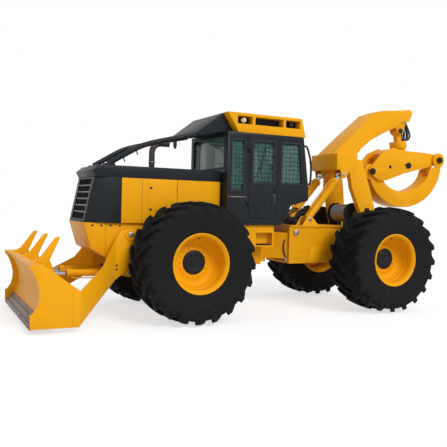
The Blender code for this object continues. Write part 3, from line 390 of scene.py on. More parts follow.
def refined(node, width=0.005):
    """A CAD piece's own shape, with its loose triangles merged and its edges rounded."""
    pick(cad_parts[node])
    bpy.ops.object.duplicate()
    piece = bpy.context.active_object
    for key in list(piece.keys()):
        del piece[key]
    piece.parent = None
    piece.data.materials.clear()
    piece.name = piece.data.name = node + "_finished"
    with editing(piece, "VERT"):
        bpy.ops.mesh.customdata_custom_splitnormals_clear()
        bpy.ops.mesh.remove_doubles(threshold=0.0001)
        bpy.ops.mesh.dissolve_limited(angle_limit=math.radians(0.3))
    if width:
        round_edges(piece, width, angle=28)
    return piece


def fit(piece, finish, body, *nodes, slot=None):
    """Give a finished piece its material, its body and the solids that it stands for. The slot argument is
    not used.
    """
    piece.data.materials.clear()
    piece.data.materials.append(FINISHES[finish])
    smooth(piece)
    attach(piece, body)
    if nodes:
        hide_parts(*nodes)
    return piece


def bolt_at(place, facing, radius):
    """Where a bolt of unit radius goes: its foot on a place, its head facing a direction."""
    turn = Vector(facing).to_track_quat("Z", "Y").to_matrix().to_4x4()
    return Matrix.Translation(Vector(place)) @ turn @ Matrix.Diagonal((radius, radius, radius, 1))


def bolts(name, places):
    """Hexagon heads on washers. Each place is a point, a direction and a radius."""
    head = bar("head", (0, 0, 0.1), (0, 0, 0.95), 0.86, 6, 0.12)
    washer = bar("washer", (0, 0, -0.1), (0, 0, 0.18), 1.25, 16)
    return copies(name, join("bolt", [head, washer]), [bolt_at(*place) for place in places])


# Shader maths

class Link:
    """A shader socket that can be used in sums."""

    def __init__(self, finish, socket):
        self.finish = finish
        self.socket = socket

    def sum_of(self, operation, *values):
        return self.finish.add("ShaderNodeMath", {"operation": operation}, values)

    def __add__(self, other):
        return self.sum_of("ADD", self, other)

    def __mul__(self, other):
        return self.sum_of("MULTIPLY", self, other)

    def __rsub__(self, other):
        return self.sum_of("SUBTRACT", other, self)

    __radd__ = __add__
    __rmul__ = __mul__


def opaque(value):
    """A colour with its alpha of 1. Anything else comes back as it is."""
    return (*value, 1) if isinstance(value, tuple) and len(value) == 3 else value


class Finish:
    """A material, and one way of adding nodes to it."""

    def __init__(self, name):
        self.material = bpy.data.materials.new(name)
        self.material.use_nodes = True
        self.tree = self.material.node_tree
        self.shader = self.tree.nodes["Principled BSDF"]
        self.coords = self.add("ShaderNodeTexCoord", out="Object")

    def add(self, kind, settings=None, inputs=(), out=0):
        node = self.tree.nodes.new(kind)
        for key, value in (settings or {}).items():
            setattr(node, key, value)
        for key, value in (inputs.items() if isinstance(inputs, dict) else enumerate(inputs)):
            self.feed(node.inputs[key], value)
        return Link(self, node.outputs[out])

    def feed(self, socket, value):
        if isinstance(value, Link):
            self.tree.links.new(value.socket, socket)
        else:
            socket.default_value = value

    def noise(self, scale, detail=4, stretch=(1, 1, 1), rough=0.55):
        place = self.coords
        if stretch != (1, 1, 1):
            place = self.add("ShaderNodeMapping", inputs={"Vector": place, "Scale": stretch})
        return self.add("ShaderNodeTexNoise", inputs={"Vector": place, "Scale": scale, "Detail": detail,
                                                      "Roughness": rough}, out="Fac")

    def between(self, value, low, high):
        """0 below low, 1 above high and a smooth step between."""
        return self.add("ShaderNodeMapRange", {"interpolation_type": "SMOOTHSTEP"},
                        {"Value": value, "From Min": low, "From Max": high})

    def height(self):
        return self.add("ShaderNodeSeparateXYZ", inputs=[self.coords], out="Z")

    def facing_up(self):
        normal = self.add("ShaderNodeNewGeometry", out="Normal")
        return self.add("ShaderNodeSeparateXYZ", inputs=[normal], out="Z")

    def edges(self):
        return self.add("ShaderNodeNewGeometry", out="Pointiness")

    def mix(self, share, one, two):
        one, two = [opaque(value) for value in (one, two)]
        return self.add("ShaderNodeMix", {"data_type": "RGBA"}, {0: share, 6: one, 7: two}, out=2)

    def bump(self, height, strength, distance=0.002):
        return self.add("ShaderNodeBump",
                        inputs={"Height": height, "Strength": strength, "Distance": distance})

    def set(self, **sockets):
        for key, value in sockets.items():
            self.feed(self.shader.inputs[key.replace("_", " ").title().replace("Ior", "IOR")], opaque(value))
        return self.material


def shade(colour, factor):
    return tuple(channel * factor for channel in colour)


def machine_paint(name, colour, dust, rough, coat, grime=0.5):
    """Sprayed enamel: faint clouds of tone, a little dust on what faces up, faint runs and rubbed edges."""
    paint = Finish(name)
    tone = paint.mix(paint.noise(0.9, 3), shade(colour, 0.95), shade(colour, 1.05))
    runs = paint.between(paint.noise(5.0, 5, (1.6, 1.6, 0.25)), 0.58, 0.80) * (0.22 * grime)
    tone = paint.mix(runs, tone, shade(colour, 0.60))
    specks = paint.between(paint.noise(60, 3), 0.64, 0.74) * (0.18 * grime)
    tone = paint.mix(specks, tone, shade(colour, 0.55))
    low = (1 - paint.between(paint.height(), 0.05, 0.8)) * paint.between(paint.noise(7, 5), 0.46, 0.72)
    up = paint.between(paint.facing_up(), 0.6, 1.0) * paint.between(paint.noise(4, 5), 0.40, 0.78)
    tone = paint.mix(low * (0.35 * grime), tone, dust)
    tone = paint.mix(up * (0.25 * grime), tone, dust)
    worn = paint.between(paint.edges(), 0.54, 0.62) * paint.between(paint.noise(14, 4), 0.50, 0.62)
    tone = paint.mix(worn * (0.1 * grime), tone, (0.16, 0.13, 0.11))
    peel = paint.bump(paint.noise(220, 2) + paint.noise(5, 2) * 2.0, 0.07)
    return paint.set(base_color=tone, roughness=rough + paint.noise(9, 4) * 0.10 + up * 0.08,
                     coat_weight=coat, coat_roughness=0.25, specular_ior_level=0.09, normal=peel)


def tyre_rubber():
    """Black rubber, greyed a little by dry dust low on the walls, and lighter towards a cool grey in patches
    on faces that look up.
    """
    rubber = Finish("tyre_rubber")
    tone = rubber.mix(rubber.noise(2.2, 4), (0.0085, 0.0086, 0.0090), (0.0140, 0.0142, 0.0148))
    dust = rubber.between(rubber.noise(6, 6), 0.46, 0.76) * (1 - rubber.between(rubber.height(), 0.0, 1.1))
    tone = rubber.mix(dust * 0.16, tone, (0.045, 0.041, 0.035))
    # faces that look up are lightened towards a cool grey, in patches
    up = rubber.between(rubber.facing_up(), 0.2, 1.0) * rubber.between(rubber.noise(3, 4), 0.3, 0.7)
    tone = rubber.mix(up * 0.22, tone, (0.028, 0.029, 0.032))
    grain = rubber.bump(rubber.noise(150, 4) + rubber.noise(24, 3), 0.22)
    return rubber.set(base_color=tone, roughness=0.66 + rubber.noise(8, 4) * 0.2, normal=grain,
                      specular_ior_level=0.09)


def worn_steel():
    """Ground-polished steel with brown scale, streaked along the way that it scrapes."""
    low, high = (0.12, 0.075, 0.06), (0.30, 0.235, 0.20)
    steel = Finish("worn_steel")
    streaks = steel.noise(9, 6, (1, 6, 1.2))
    tone = steel.mix(steel.between(streaks, 0.38, 0.66), low, high)
    scale = steel.between(steel.noise(22, 5), 0.56, 0.66)
    tone = steel.mix(scale * 0.6, tone, shade(low, 0.6))
    return steel.set(base_color=tone, metallic=0.45, roughness=0.42 + scale * 0.3 + streaks * 0.1,
                     normal=steel.bump(steel.noise(70, 5), 0.35))


def rusty_pipe():
    """Heat-browned exhaust pipe."""
    rust = Finish("rusty_pipe")
    tone = rust.mix(rust.between(rust.noise(12, 6), 0.35, 0.70), (0.030, 0.023, 0.021), (0.085, 0.052, 0.036))
    tone = rust.mix(rust.between(rust.noise(40, 4), 0.58, 0.72), tone, (0.075, 0.035, 0.018))
    return rust.set(base_color=tone, roughness=0.62, metallic=0.2, normal=rust.bump(rust.noise(90, 5), 0.3))


def plain_metal(name, colour, rough):
    """Machined or plated metal with fine turning marks."""
    metal = Finish(name)
    marks = metal.noise(40, 4, (1, 1, 6))
    tone = metal.mix(marks, shade(colour, 0.82), shade(colour, 1.12))
    return metal.set(base_color=tone, metallic=1.0, roughness=rough + marks * 0.12,
                     normal=metal.bump(metal.noise(180, 2), 0.05))


def moulded(name, colour, rough=0.5, grain=130):
    """Moulded plastic or rubber hose."""
    plastic = Finish(name)
    tone = plastic.mix(plastic.noise(9, 4), shade(colour, 0.75), shade(colour, 1.3))
    return plastic.set(base_color=tone, roughness=rough + plastic.noise(20, 3) * 0.15,
                       normal=plastic.bump(plastic.noise(grain, 3), 0.25))


def tinted_glass():
    """Green-tinted safety glass with a film of dust."""
    glass = Finish("tinted_glass")
    film = glass.between(glass.noise(5, 5, (1, 1, 0.6)), 0.35, 0.8)
    tone = glass.mix(film, (0.05, 0.19, 0.155), (0.08, 0.24, 0.20))
    return glass.set(base_color=tone, roughness=0.04 + film * 0.08, alpha=0.48 + film * 0.08)


def woven_cloth():
    """Black seat cloth with a fine weave."""
    cloth = Finish("seat_cloth")
    across = cloth.add("ShaderNodeTexWave", {"bands_direction": "Y"},
                       {"Vector": cloth.coords, "Scale": 160.0, "Distortion": 0.6}, out="Fac")
    along = cloth.add("ShaderNodeTexWave", {"bands_direction": "Z"},
                      {"Vector": cloth.coords, "Scale": 160.0, "Distortion": 0.6}, out="Fac")
    weave = across * along
    tone = cloth.mix(weave, (0.014, 0.014, 0.015), (0.045, 0.045, 0.048))
    return cloth.set(base_color=tone, roughness=0.92, sheen_weight=0.3, normal=cloth.bump(weave, 0.5))


def lamp_glass():
    """Pressed lamp lens: pale, fluted and glossy."""
    lens = Finish("lamp_lens")
    flutes = lens.add("ShaderNodeTexWave", {"bands_direction": "Y"},
                      {"Vector": lens.coords, "Scale": 40.0}, out="Fac")
    tone = lens.mix(flutes, (0.55, 0.42, 0.16), (0.85, 0.68, 0.32))
    return lens.set(base_color=tone, roughness=0.12, coat_weight=0.6, normal=lens.bump(flutes, 0.3))


# Operators

class PaintSettings(bpy.types.PropertyGroup):
    """Colours and amounts that change the machine's look."""
    yellow: bpy.props.FloatVectorProperty(
        name="Machine Yellow", description="Enamel on the frames, blade, arch and hood sides",
        subtype="COLOR", size=3, min=0, max=1, default=(0.84, 0.375, 0.004))
    dark: bpy.props.FloatVectorProperty(
        name="Dark Grey", description="Enamel on the hood, grille, guard and cab",
        subtype="COLOR", size=3, min=0, max=1, default=(0.0165, 0.0195, 0.0225))
    dust: bpy.props.FloatVectorProperty(
        name="Dust", description="Dry soil that settles on the paint",
        subtype="COLOR", size=3, min=0, max=1, default=(0.42, 0.30, 0.16))
    grime: bpy.props.FloatProperty(
        name="Grime", description="Amount of dust and runs", subtype="FACTOR", min=0, max=1, default=0.35)


class DetailSettings(bpy.types.PropertyGroup):
    """Sizes of the added pieces."""
    guard_pitch: bpy.props.FloatProperty(
        name="Guard Pitch", description="Distance between the wires of the window guards",
        unit="LENGTH", min=0.02, max=0.2, default=0.07)
    guard_wire: bpy.props.FloatProperty(
        name="Guard Wire", description="Radius of a guard's wire", unit="LENGTH", min=0.001, max=0.02,
        default=0.004)
    hose_radius: bpy.props.FloatProperty(
        name="Hose Radius", description="Radius of the hydraulic hoses", unit="LENGTH", min=0.005, max=0.05,
        default=0.016)


class SKIDDER_OT_finishes(bpy.types.Operator):
    """Make the materials"""
    bl_idname = "skidder.finishes"
    bl_label = "Make Finishes"

    def execute(self, context):
        paint = context.scene.skidder_paint
        yellow, dark, dust = tuple(paint.yellow), tuple(paint.dark), tuple(paint.dust)
        FINISHES.update(
            yellow=machine_paint("machine_yellow", yellow, dust, 0.36, 0.03, paint.grime),
            dark=machine_paint("dark_enamel", dark, (0.10, 0.095, 0.09), 0.38, 0.05, paint.grime),
            hub=machine_paint("hub_enamel", (0.014, 0.016, 0.017), (0.06, 0.055, 0.05), 0.36, 0.08,
                              paint.grime),
            rubber=tyre_rubber(),
            steel=worn_steel(),
            rust=rusty_pipe(),
            chrome=plain_metal("rod_chrome", (0.45, 0.45, 0.46), 0.16),
            zinc=plain_metal("zinc_plate", (0.42, 0.41, 0.38), 0.34),
            hose=moulded("hose_rubber", (0.018, 0.018, 0.019), 0.55),
            plastic=moulded("black_plastic", (0.022, 0.022, 0.024), 0.45),
            glass=tinted_glass(),
            cloth=woven_cloth(),
            lens=lamp_glass(),
            # steel for the winch rope's own wire, and for painted highlights on the grille's edges
            bright=plain_metal("bright_edge", (0.36, 0.37, 0.38), 0.42),
            # dark rubber for the window seals and hood seams, and for painted shade in the skirt and arm
            # openings
            pad=moulded("rubber_seal_and_painted_hole_shade", (0.012, 0.012, 0.013), 0.6, 60))
        return {"FINISHED"}


def tyre_lug(radius, half_width, lag):
    """One lug at the top of a tyre, from the middle of the tread over the shoulder and down the wall."""
    steps = 14
    bpy.ops.mesh.primitive_cube_add(size=2)
    lug = bpy.context.active_object
    with editing(lug):
        for index in range(1, steps):
            bpy.ops.mesh.select_all(action="SELECT")
            bpy.ops.mesh.bisect(plane_co=(-1 + 2 * index / steps, 0, 0), plane_no=(1, 0, 0))
    shoulder = 0.72
    wall_low = 0.735
    foot = radius - LUG_H - 0.05

    def place(point):
        share = (point.x + 1) / 2
        top = point.z > 0
        on_tread = min(share / shoulder, 1)
        on_wall = max((share - shoulder) / (1 - shoulder), 0)
        across = 0.012 + (half_width - 0.004 - 0.012) * on_tread
        height = radius - 0.030 * on_tread ** 2
        if top:
            across += 0.010 * on_wall * (1 - on_wall) * 4 - 0.010 * on_wall
            height += (wall_low - height) * on_wall ** 0.9 - 0.012 * (on_wall > 0)
        else:
            across = min(across, half_width - 0.03) - 0.012 * on_wall
            height = foot + (wall_low - 0.02 - foot) * on_wall
        sweep = min(across / 0.36, 1.0)
        angle = -LUG_SWEEP * (0.45 * sweep + 0.55 * sweep ** 2) - math.radians(1.2) * on_wall
        half = 0.030 + 0.020 * on_tread - 0.008 * on_wall + (0 if top else 0.012)
        angle += point.y * half / radius + lag
        return Vector((height * math.sin(angle), across, height * math.cos(angle)))

    reshape(lug, place)
    with editing(lug):
        bpy.ops.mesh.normals_make_consistent(inside=False)
    round_edges(lug, 0.012, 2, 35)
    return lug


class SKIDDER_OT_tyres(bpy.types.Operator):
    """Four forestry tyres with curved lugs"""
    bl_idname = "skidder.tyres"
    bl_label = "Make Tyres"

    def execute(self, context):
        low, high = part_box("tyre_front_left")
        radius = (high.x - low.x) / 2
        half_width = (high.y - low.y) / 2
        groove = radius - LUG_H
        # radius and half width of the carcass, from the bead to the middle of the tread
        wall = ((0.432, 0.3245), (0.464, 0.334), (0.476, 0.346), (0.500, 0.352), (0.512, 0.350),
                (0.560, 0.364), (0.650, 0.3765), (0.740, 0.380), (0.800, 0.377), (groove - 0.042, 0.368),
                (groove - 0.022, 0.345), (groove - 0.012, 0.30), (groove - 0.004, 0.15), (groove, 0.0))
        profile = list(wall) + [(r, -y) for r, y in reversed(wall[:-1])]
        carcass = spun("carcass", profile, (0, 0, 0), 80)
        pitch = math.tau / LUGS
        lug = tyre_lug(radius, half_width, pitch * 0.75)
        mirror = Matrix.Diagonal((1, -1, 1, 1))
        turns = [Matrix.Rotation(pitch * index, 4, "Y") for index in range(LUGS)]
        outer = copies("outer_lugs", lug, turns, keep=True)
        inner = copies("inner_lugs", lug, [mirror @ Matrix.Rotation(pitch * (index + 0.5), 4, "Y")
                                           for index in range(LUGS)])
        with editing(inner):
            bpy.ops.mesh.normals_make_consistent(inside=False)
        master = join("tyre", [outer, inner, carcass])
        for end, word, _ in WHEELS:
            node = "tyre_%s_%s" % (end, word)
            low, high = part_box(node)
            tyre = copies(node + "_lugged", master, [Matrix.Translation((low + high) / 2)], keep=True)
            fit(tyre, "rubber", "wheel_%s_%s" % (end, word), node)
        bpy.data.objects.remove(master)
        return {"FINISHED"}


class SKIDDER_OT_rims(bpy.types.Operator):
    """Rims with rolled flanges, hubs and wheel nuts"""
    bl_idname = "skidder.rims"
    bl_label = "Make Rims"

    def execute(self, context):
        # radius and height towards the wheel's outer side, round the rim's section
        flange = ((0.400, 0.300), (0.410, 0.322), (0.430, 0.336), (0.440, 0.348), (0.450, 0.3535),
                  (0.459, 0.351), (0.4625, 0.343), (0.4615, 0.336), (0.446, 0.3305), (0.4305, 0.3255))
        dish = ((0.170, 0.020), (0.170, 0.046), (0.262, 0.046), (0.268, 0.042), (0.318, 0.042),
                (0.334, 0.052), (0.352, 0.070), (0.368, 0.098), (0.384, 0.128), (0.388, 0.160),
                (0.398, 0.166))
        back = ((0.398, 0.060), (0.372, 0.018), (0.330, -0.012), (0.200, -0.016), (0.185, 0.0))
        section = (*dish, *flange, *((radius, -height) for radius, height in reversed(flange)), *back)
        cap = ((0.0, 0.080), (0.046, 0.080), (0.050, 0.076), (0.050, 0.070), (0.120, 0.068), (0.128, 0.073),
               (0.150, 0.073), (0.158, 0.066), (HUB_R - 0.006, 0.063), (HUB_R, 0.056), (HUB_R, 0.010),
               (0.0, 0.010))
        for end, word, sign in WHEELS:
            node = "rim_%s_%s" % (end, word)
            body = "wheel_%s_%s" % (end, word)
            low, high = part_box("tyre_%s_%s" % (end, word))
            centre = (low + high) / 2
            rim = spun(node + "_rolled", section, centre, 72, sign)
            fit(rim, "yellow", body, node)
            hub = spun("hub_" + end + "_" + word, cap, centre, 48, sign)
            fit(hub, "hub", body)
            out = Vector((0, sign, 0))
            nuts = bolt_circle(centre + out * 0.046, NUT_CIRCLE, NUTS, 0.0155, sign)
            inner = bolt_circle(centre + out * 0.072, 0.139, 12, 0.008, sign, 0.5)
            fit(bolts("hub_bolts_" + end + "_" + word, inner), "hub", body)
            fit(bolts("nuts_" + end + "_" + word, nuts), "yellow", body)
            valve = bar("valve_" + end + "_" + word, centre + Vector((0.0, sign * 0.17, 0.385)),
                        centre + Vector((0.0, sign * 0.235, 0.365)), 0.007, 10, 0.001)
            fit(valve, "hose", body, slot="dark_paint")
        return {"FINISHED"}


def finish_nodes(rows):
    """Round and paint solids. Each row is a node, its body, its finish and its edges' width."""
    for node, body, finish, width in rows:
        fit(refined(node, width), finish, body, node)


class SKIDDER_OT_frames(bpy.types.Operator):
    """Frames, axles and nose, with their bolts, steps and drive shafts"""
    bl_idname = "skidder.frames"
    bl_label = "Finish Frames"

    def execute(self, context):
        finish_nodes((("front_frame", "front_frame", "yellow", 0.004),
                      ("nose", "front_frame", "yellow", 0.008),
                      ("front_axle", "front_frame", "yellow", 0.012),
                      ("rear_frame", "rear_frame", "yellow", 0.004),
                      ("rear_axle", "rear_frame", "yellow", 0.012),
                      ("engine_block", "front_frame", "steel", 0.020)))
        axle_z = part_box("front_axle")[1].z - 0.27
        for end, sign, body in (("front", 1, "front_frame"), ("rear", -1, "rear_frame")):
            x = sign * HALF_WHEELBASE
            heads = [place for side in SIGNS
                     for place in bolt_circle((x, side * 0.115, axle_z), 0.245, 14, 0.012, side)]
            fit(bolts("axle_bolts_" + end, heads), "yellow", body)
            ribs = [drawn("rib", ((x - 0.02, side * 0.20), (x + 0.02, side * 0.20), (x + 0.012, side * 0.62),
                                  (x - 0.012, side * 0.62)), axle_z + 0.10, axle_z + 0.148, "XY", 0.004)
                    for side in SIGNS]
            fit(join("axle_ribs_" + end, ribs), "yellow", body)
            start = x - sign * 0.27
            stop = 0.42 if sign > 0 else -0.40
            shaft = bar("shaft", (start, 0, axle_z), (stop, 0, axle_z + 0.05), 0.042, 20, 0.003)
            yokes = [bar("yoke", (spot, 0, axle_z + lift), (spot + 0.09, 0, axle_z + lift), 0.075, 16, 0.012)
                     for spot, lift in ((min(start, stop + 0.04), 0.0),
                                        (max(start - 0.09, stop - 0.09), 0.03))]
            fit(join("drive_shaft_" + end, [shaft, *yokes]), "dark", body)

        # X, Z and radius of the bolts on each side of the rear frame, then of the front frame
        rear_rows = [(x, 1.43, 0.011) for x in (-0.62, -0.74, -1.46, -1.60, -1.74, -1.88, -2.30, -2.42)]
        rear_rows += [(-0.50, 1.02, 0.016), (-0.60, 1.02, 0.016), (-0.50, 0.90, 0.016), (-0.60, 0.90, 0.016)]
        front_rows = [(x, 1.41, 0.012) for x in (1.25, 1.37, 2.40, 2.52, 2.64)]
        for name, body, rows in (("rear", "rear_frame", rear_rows), ("front", "front_frame", front_rows)):
            heads = [((x, sign * FRAME_SIDE_Y, z), (0, sign, 0), radius)
                     for x, z, radius in rows for sign in SIGNS]
            fit(bolts("frame_bolts_" + name, heads), "yellow", body)

        def gusset(sign):
            outline = ((-0.72, 0.82), (-1.15, 0.82), (-1.22, 0.98), (-1.12, 1.10), (-0.80, 1.10))
            return drawn("gusset", outline, *across_band(sign, FRAME_SIDE_Y - 0.001, FRAME_SIDE_Y + 0.014))
        fit(across_both("frame_gussets", gusset), "yellow", "rear_frame")

        def link_pin(sign):
            foot = Vector((-0.478, sign * FRAME_SIDE_Y, 1.36))
            boss = bar("boss", foot, foot + Vector((0, sign * 0.03, 0)), 0.052, 28, 0.005)
            head = bar("head", foot, foot + Vector((0, sign * 0.045, 0)), 0.026, 20, 0.004)
            return join("link_pin", [boss, head])
        fit(across_both("frame_link_pins", link_pin), "zinc", "rear_frame")

        def step_box(sign):
            box = sided_block("step", sign, *STEP, 0)
            recess = sided_block("recess", sign, *STEP_RECESS, 0)
            modify(box, "BOOLEAN", operation="DIFFERENCE", object=recess)
            bpy.data.objects.remove(recess)
            round_edges(box, 0.006)
            return box
        fit(across_both("cab_steps", step_box), "yellow", "front_frame")

        def tread(sign):
            middle = sign * (STEP_Y - 0.075)
            bars = [block("bar", (x, middle - 0.055, 1.153), (x + 0.010, middle + 0.055, 1.172), 0.002)
                    for x in (0.225 + index * 0.054 for index in range(6))]
            bars += [block("rail", (0.215, y - 0.005, 1.151), (0.515, y + 0.005, 1.176), 0.002)
                     for y in (middle - 0.055, middle + 0.055)]
            return join("tread", bars)
        fit(across_both("step_treads", tread), "dark", "front_frame")
        spots = ((0.20, 1.44), (0.50, 1.44), (0.60, 1.20), (0.60, 1.42), (0.80, 1.42), (0.80, 1.34))
        steps = [((x, sign * STEP_Y, z), (0, sign, 0), 0.011) for sign in SIGNS for x, z in spots]
        fit(bolts("step_bolts", steps), "yellow", "front_frame")

        knuckle = [((0.10 + 0.10 * math.cos(angle), 0.10 * math.sin(angle), 1.42), (0, 0, 1), 0.010)
                   for angle in angles(8, 0.5)]
        fit(bolts("knuckle_bolts", knuckle), "zinc", "front_frame")
        return {"FINISHED"}


class SKIDDER_OT_winch(bpy.types.Operator):
    """Winch with a layer of wire rope"""
    bl_idname = "skidder.winch"
    bl_label = "Finish Winch"

    def execute(self, context):
        finish_nodes((("winch", "rear_frame", "dark", 0.004),))
        low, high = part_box("winch")
        centre = (low + high) / 2
        rope_r = 0.011
        turns = []
        wrap = ring("wrap", (0, 0, 0), (0, 1, 0), DRUM_R + rope_r, rope_r, 36, 8)
        for layer in range(2):
            for index in range(20 - layer):
                y = (index - (19 - layer) / 2) * 2.1 * rope_r
                scale = 1 + layer * 0.13
                turns.append(Matrix.Translation((centre.x, y, WINCH_Z))
                             @ Matrix.Diagonal((scale, 1, scale, 1)))
        fit(copies("winch_rope", wrap, turns), "bright", "rear_frame")
        heads = [place for side in SIGNS
                 for place in bolt_circle((centre.x, side * 0.276, WINCH_Z), 0.12, 8, 0.011, side)]
        motor = bar("motor", (centre.x, -0.275, WINCH_Z), (centre.x, -0.335, WINCH_Z), 0.085, 28, 0.008)
        fit(motor, "dark", "rear_frame")
        fit(bolts("winch_bolts", heads), "dark", "rear_frame")
        return {"FINISHED"}


class SKIDDER_OT_blade(bpy.types.Operator):
    """Blade, cutting edge and push arms"""
    bl_idname = "skidder.blade"
    bl_label = "Finish Blade"

    def execute(self, context):
        finish_nodes((("cutting_edge", "blade", "steel", 0.003),))
        board = refined("blade", 0)
        cutters = [drawn("hollow", CHEEK_HOLLOW, -1.4, 1.4, bevel=0)]
        cutters.append(drawn("face", FACE_HOLLOW, -1.284, 1.284, bevel=0))
        cutters += [drawn("back", FINGER_TRIM, y - 0.04, y + 0.04, bevel=0) for y in FINGER_YS]
        for cutter in cutters:
            modify(board, "BOOLEAN", operation="DIFFERENCE", object=cutter)
            bpy.data.objects.remove(cutter)
        round_edges(board, 0.005, 2, 28)
        fit(board, "yellow", "blade", "blade")
        x, z = BLADE_PIN

        def cap(sign):
            face = Vector((x, sign * ARM_FACE_Y, z))
            return bar("cap", face, face + Vector((0, sign * 0.022, 0)), 0.040, 28, 0.006)
        fit(across_both("blade_pin_caps", cap), "zinc", "blade")
        heads = [place for sign in SIGNS
                 for place in bolt_circle((x, sign * ARM_FACE_Y, z), 0.064, 6, 0.007, sign, 0.5)]
        fit(bolts("blade_pin_bolts", heads), "yellow", "blade")

        # the cutting edge leans back by the slope of the moldboard's foot
        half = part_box("cutting_edge")[1].y
        count = 14
        foot, up, out = Vector((4.27, 0, 0.07)), Vector((-0.607, 0, 0.794)), Vector((0.794, 0, 0.607))
        rows = [(foot + up * rise + out * (0.021 - 0.044 * rise)
                 + Vector((0, half * (2 * (index + 0.5) / count - 1), 0)), out, 0.014)
                for index in range(count) for rise in (0.055, 0.145)]
        fit(bolts("edge_bolts", rows), "steel", "blade")

        # painted shade: flat dark discs on each arm stand for the shade inside two grease openings
        def grease_hole_painted_shade(sign):
            return join("hole_shade_discs", [bar("hole_shade_disc", (2.93, sign * 0.6985, z), (2.93, sign * 0.700, z), 0.017, 20)
                                  for z in (0.80, 0.86)])
        fit(across_both("arm_hole_painted_shade", grease_hole_painted_shade), "pad", "blade")
        return {"FINISHED"}


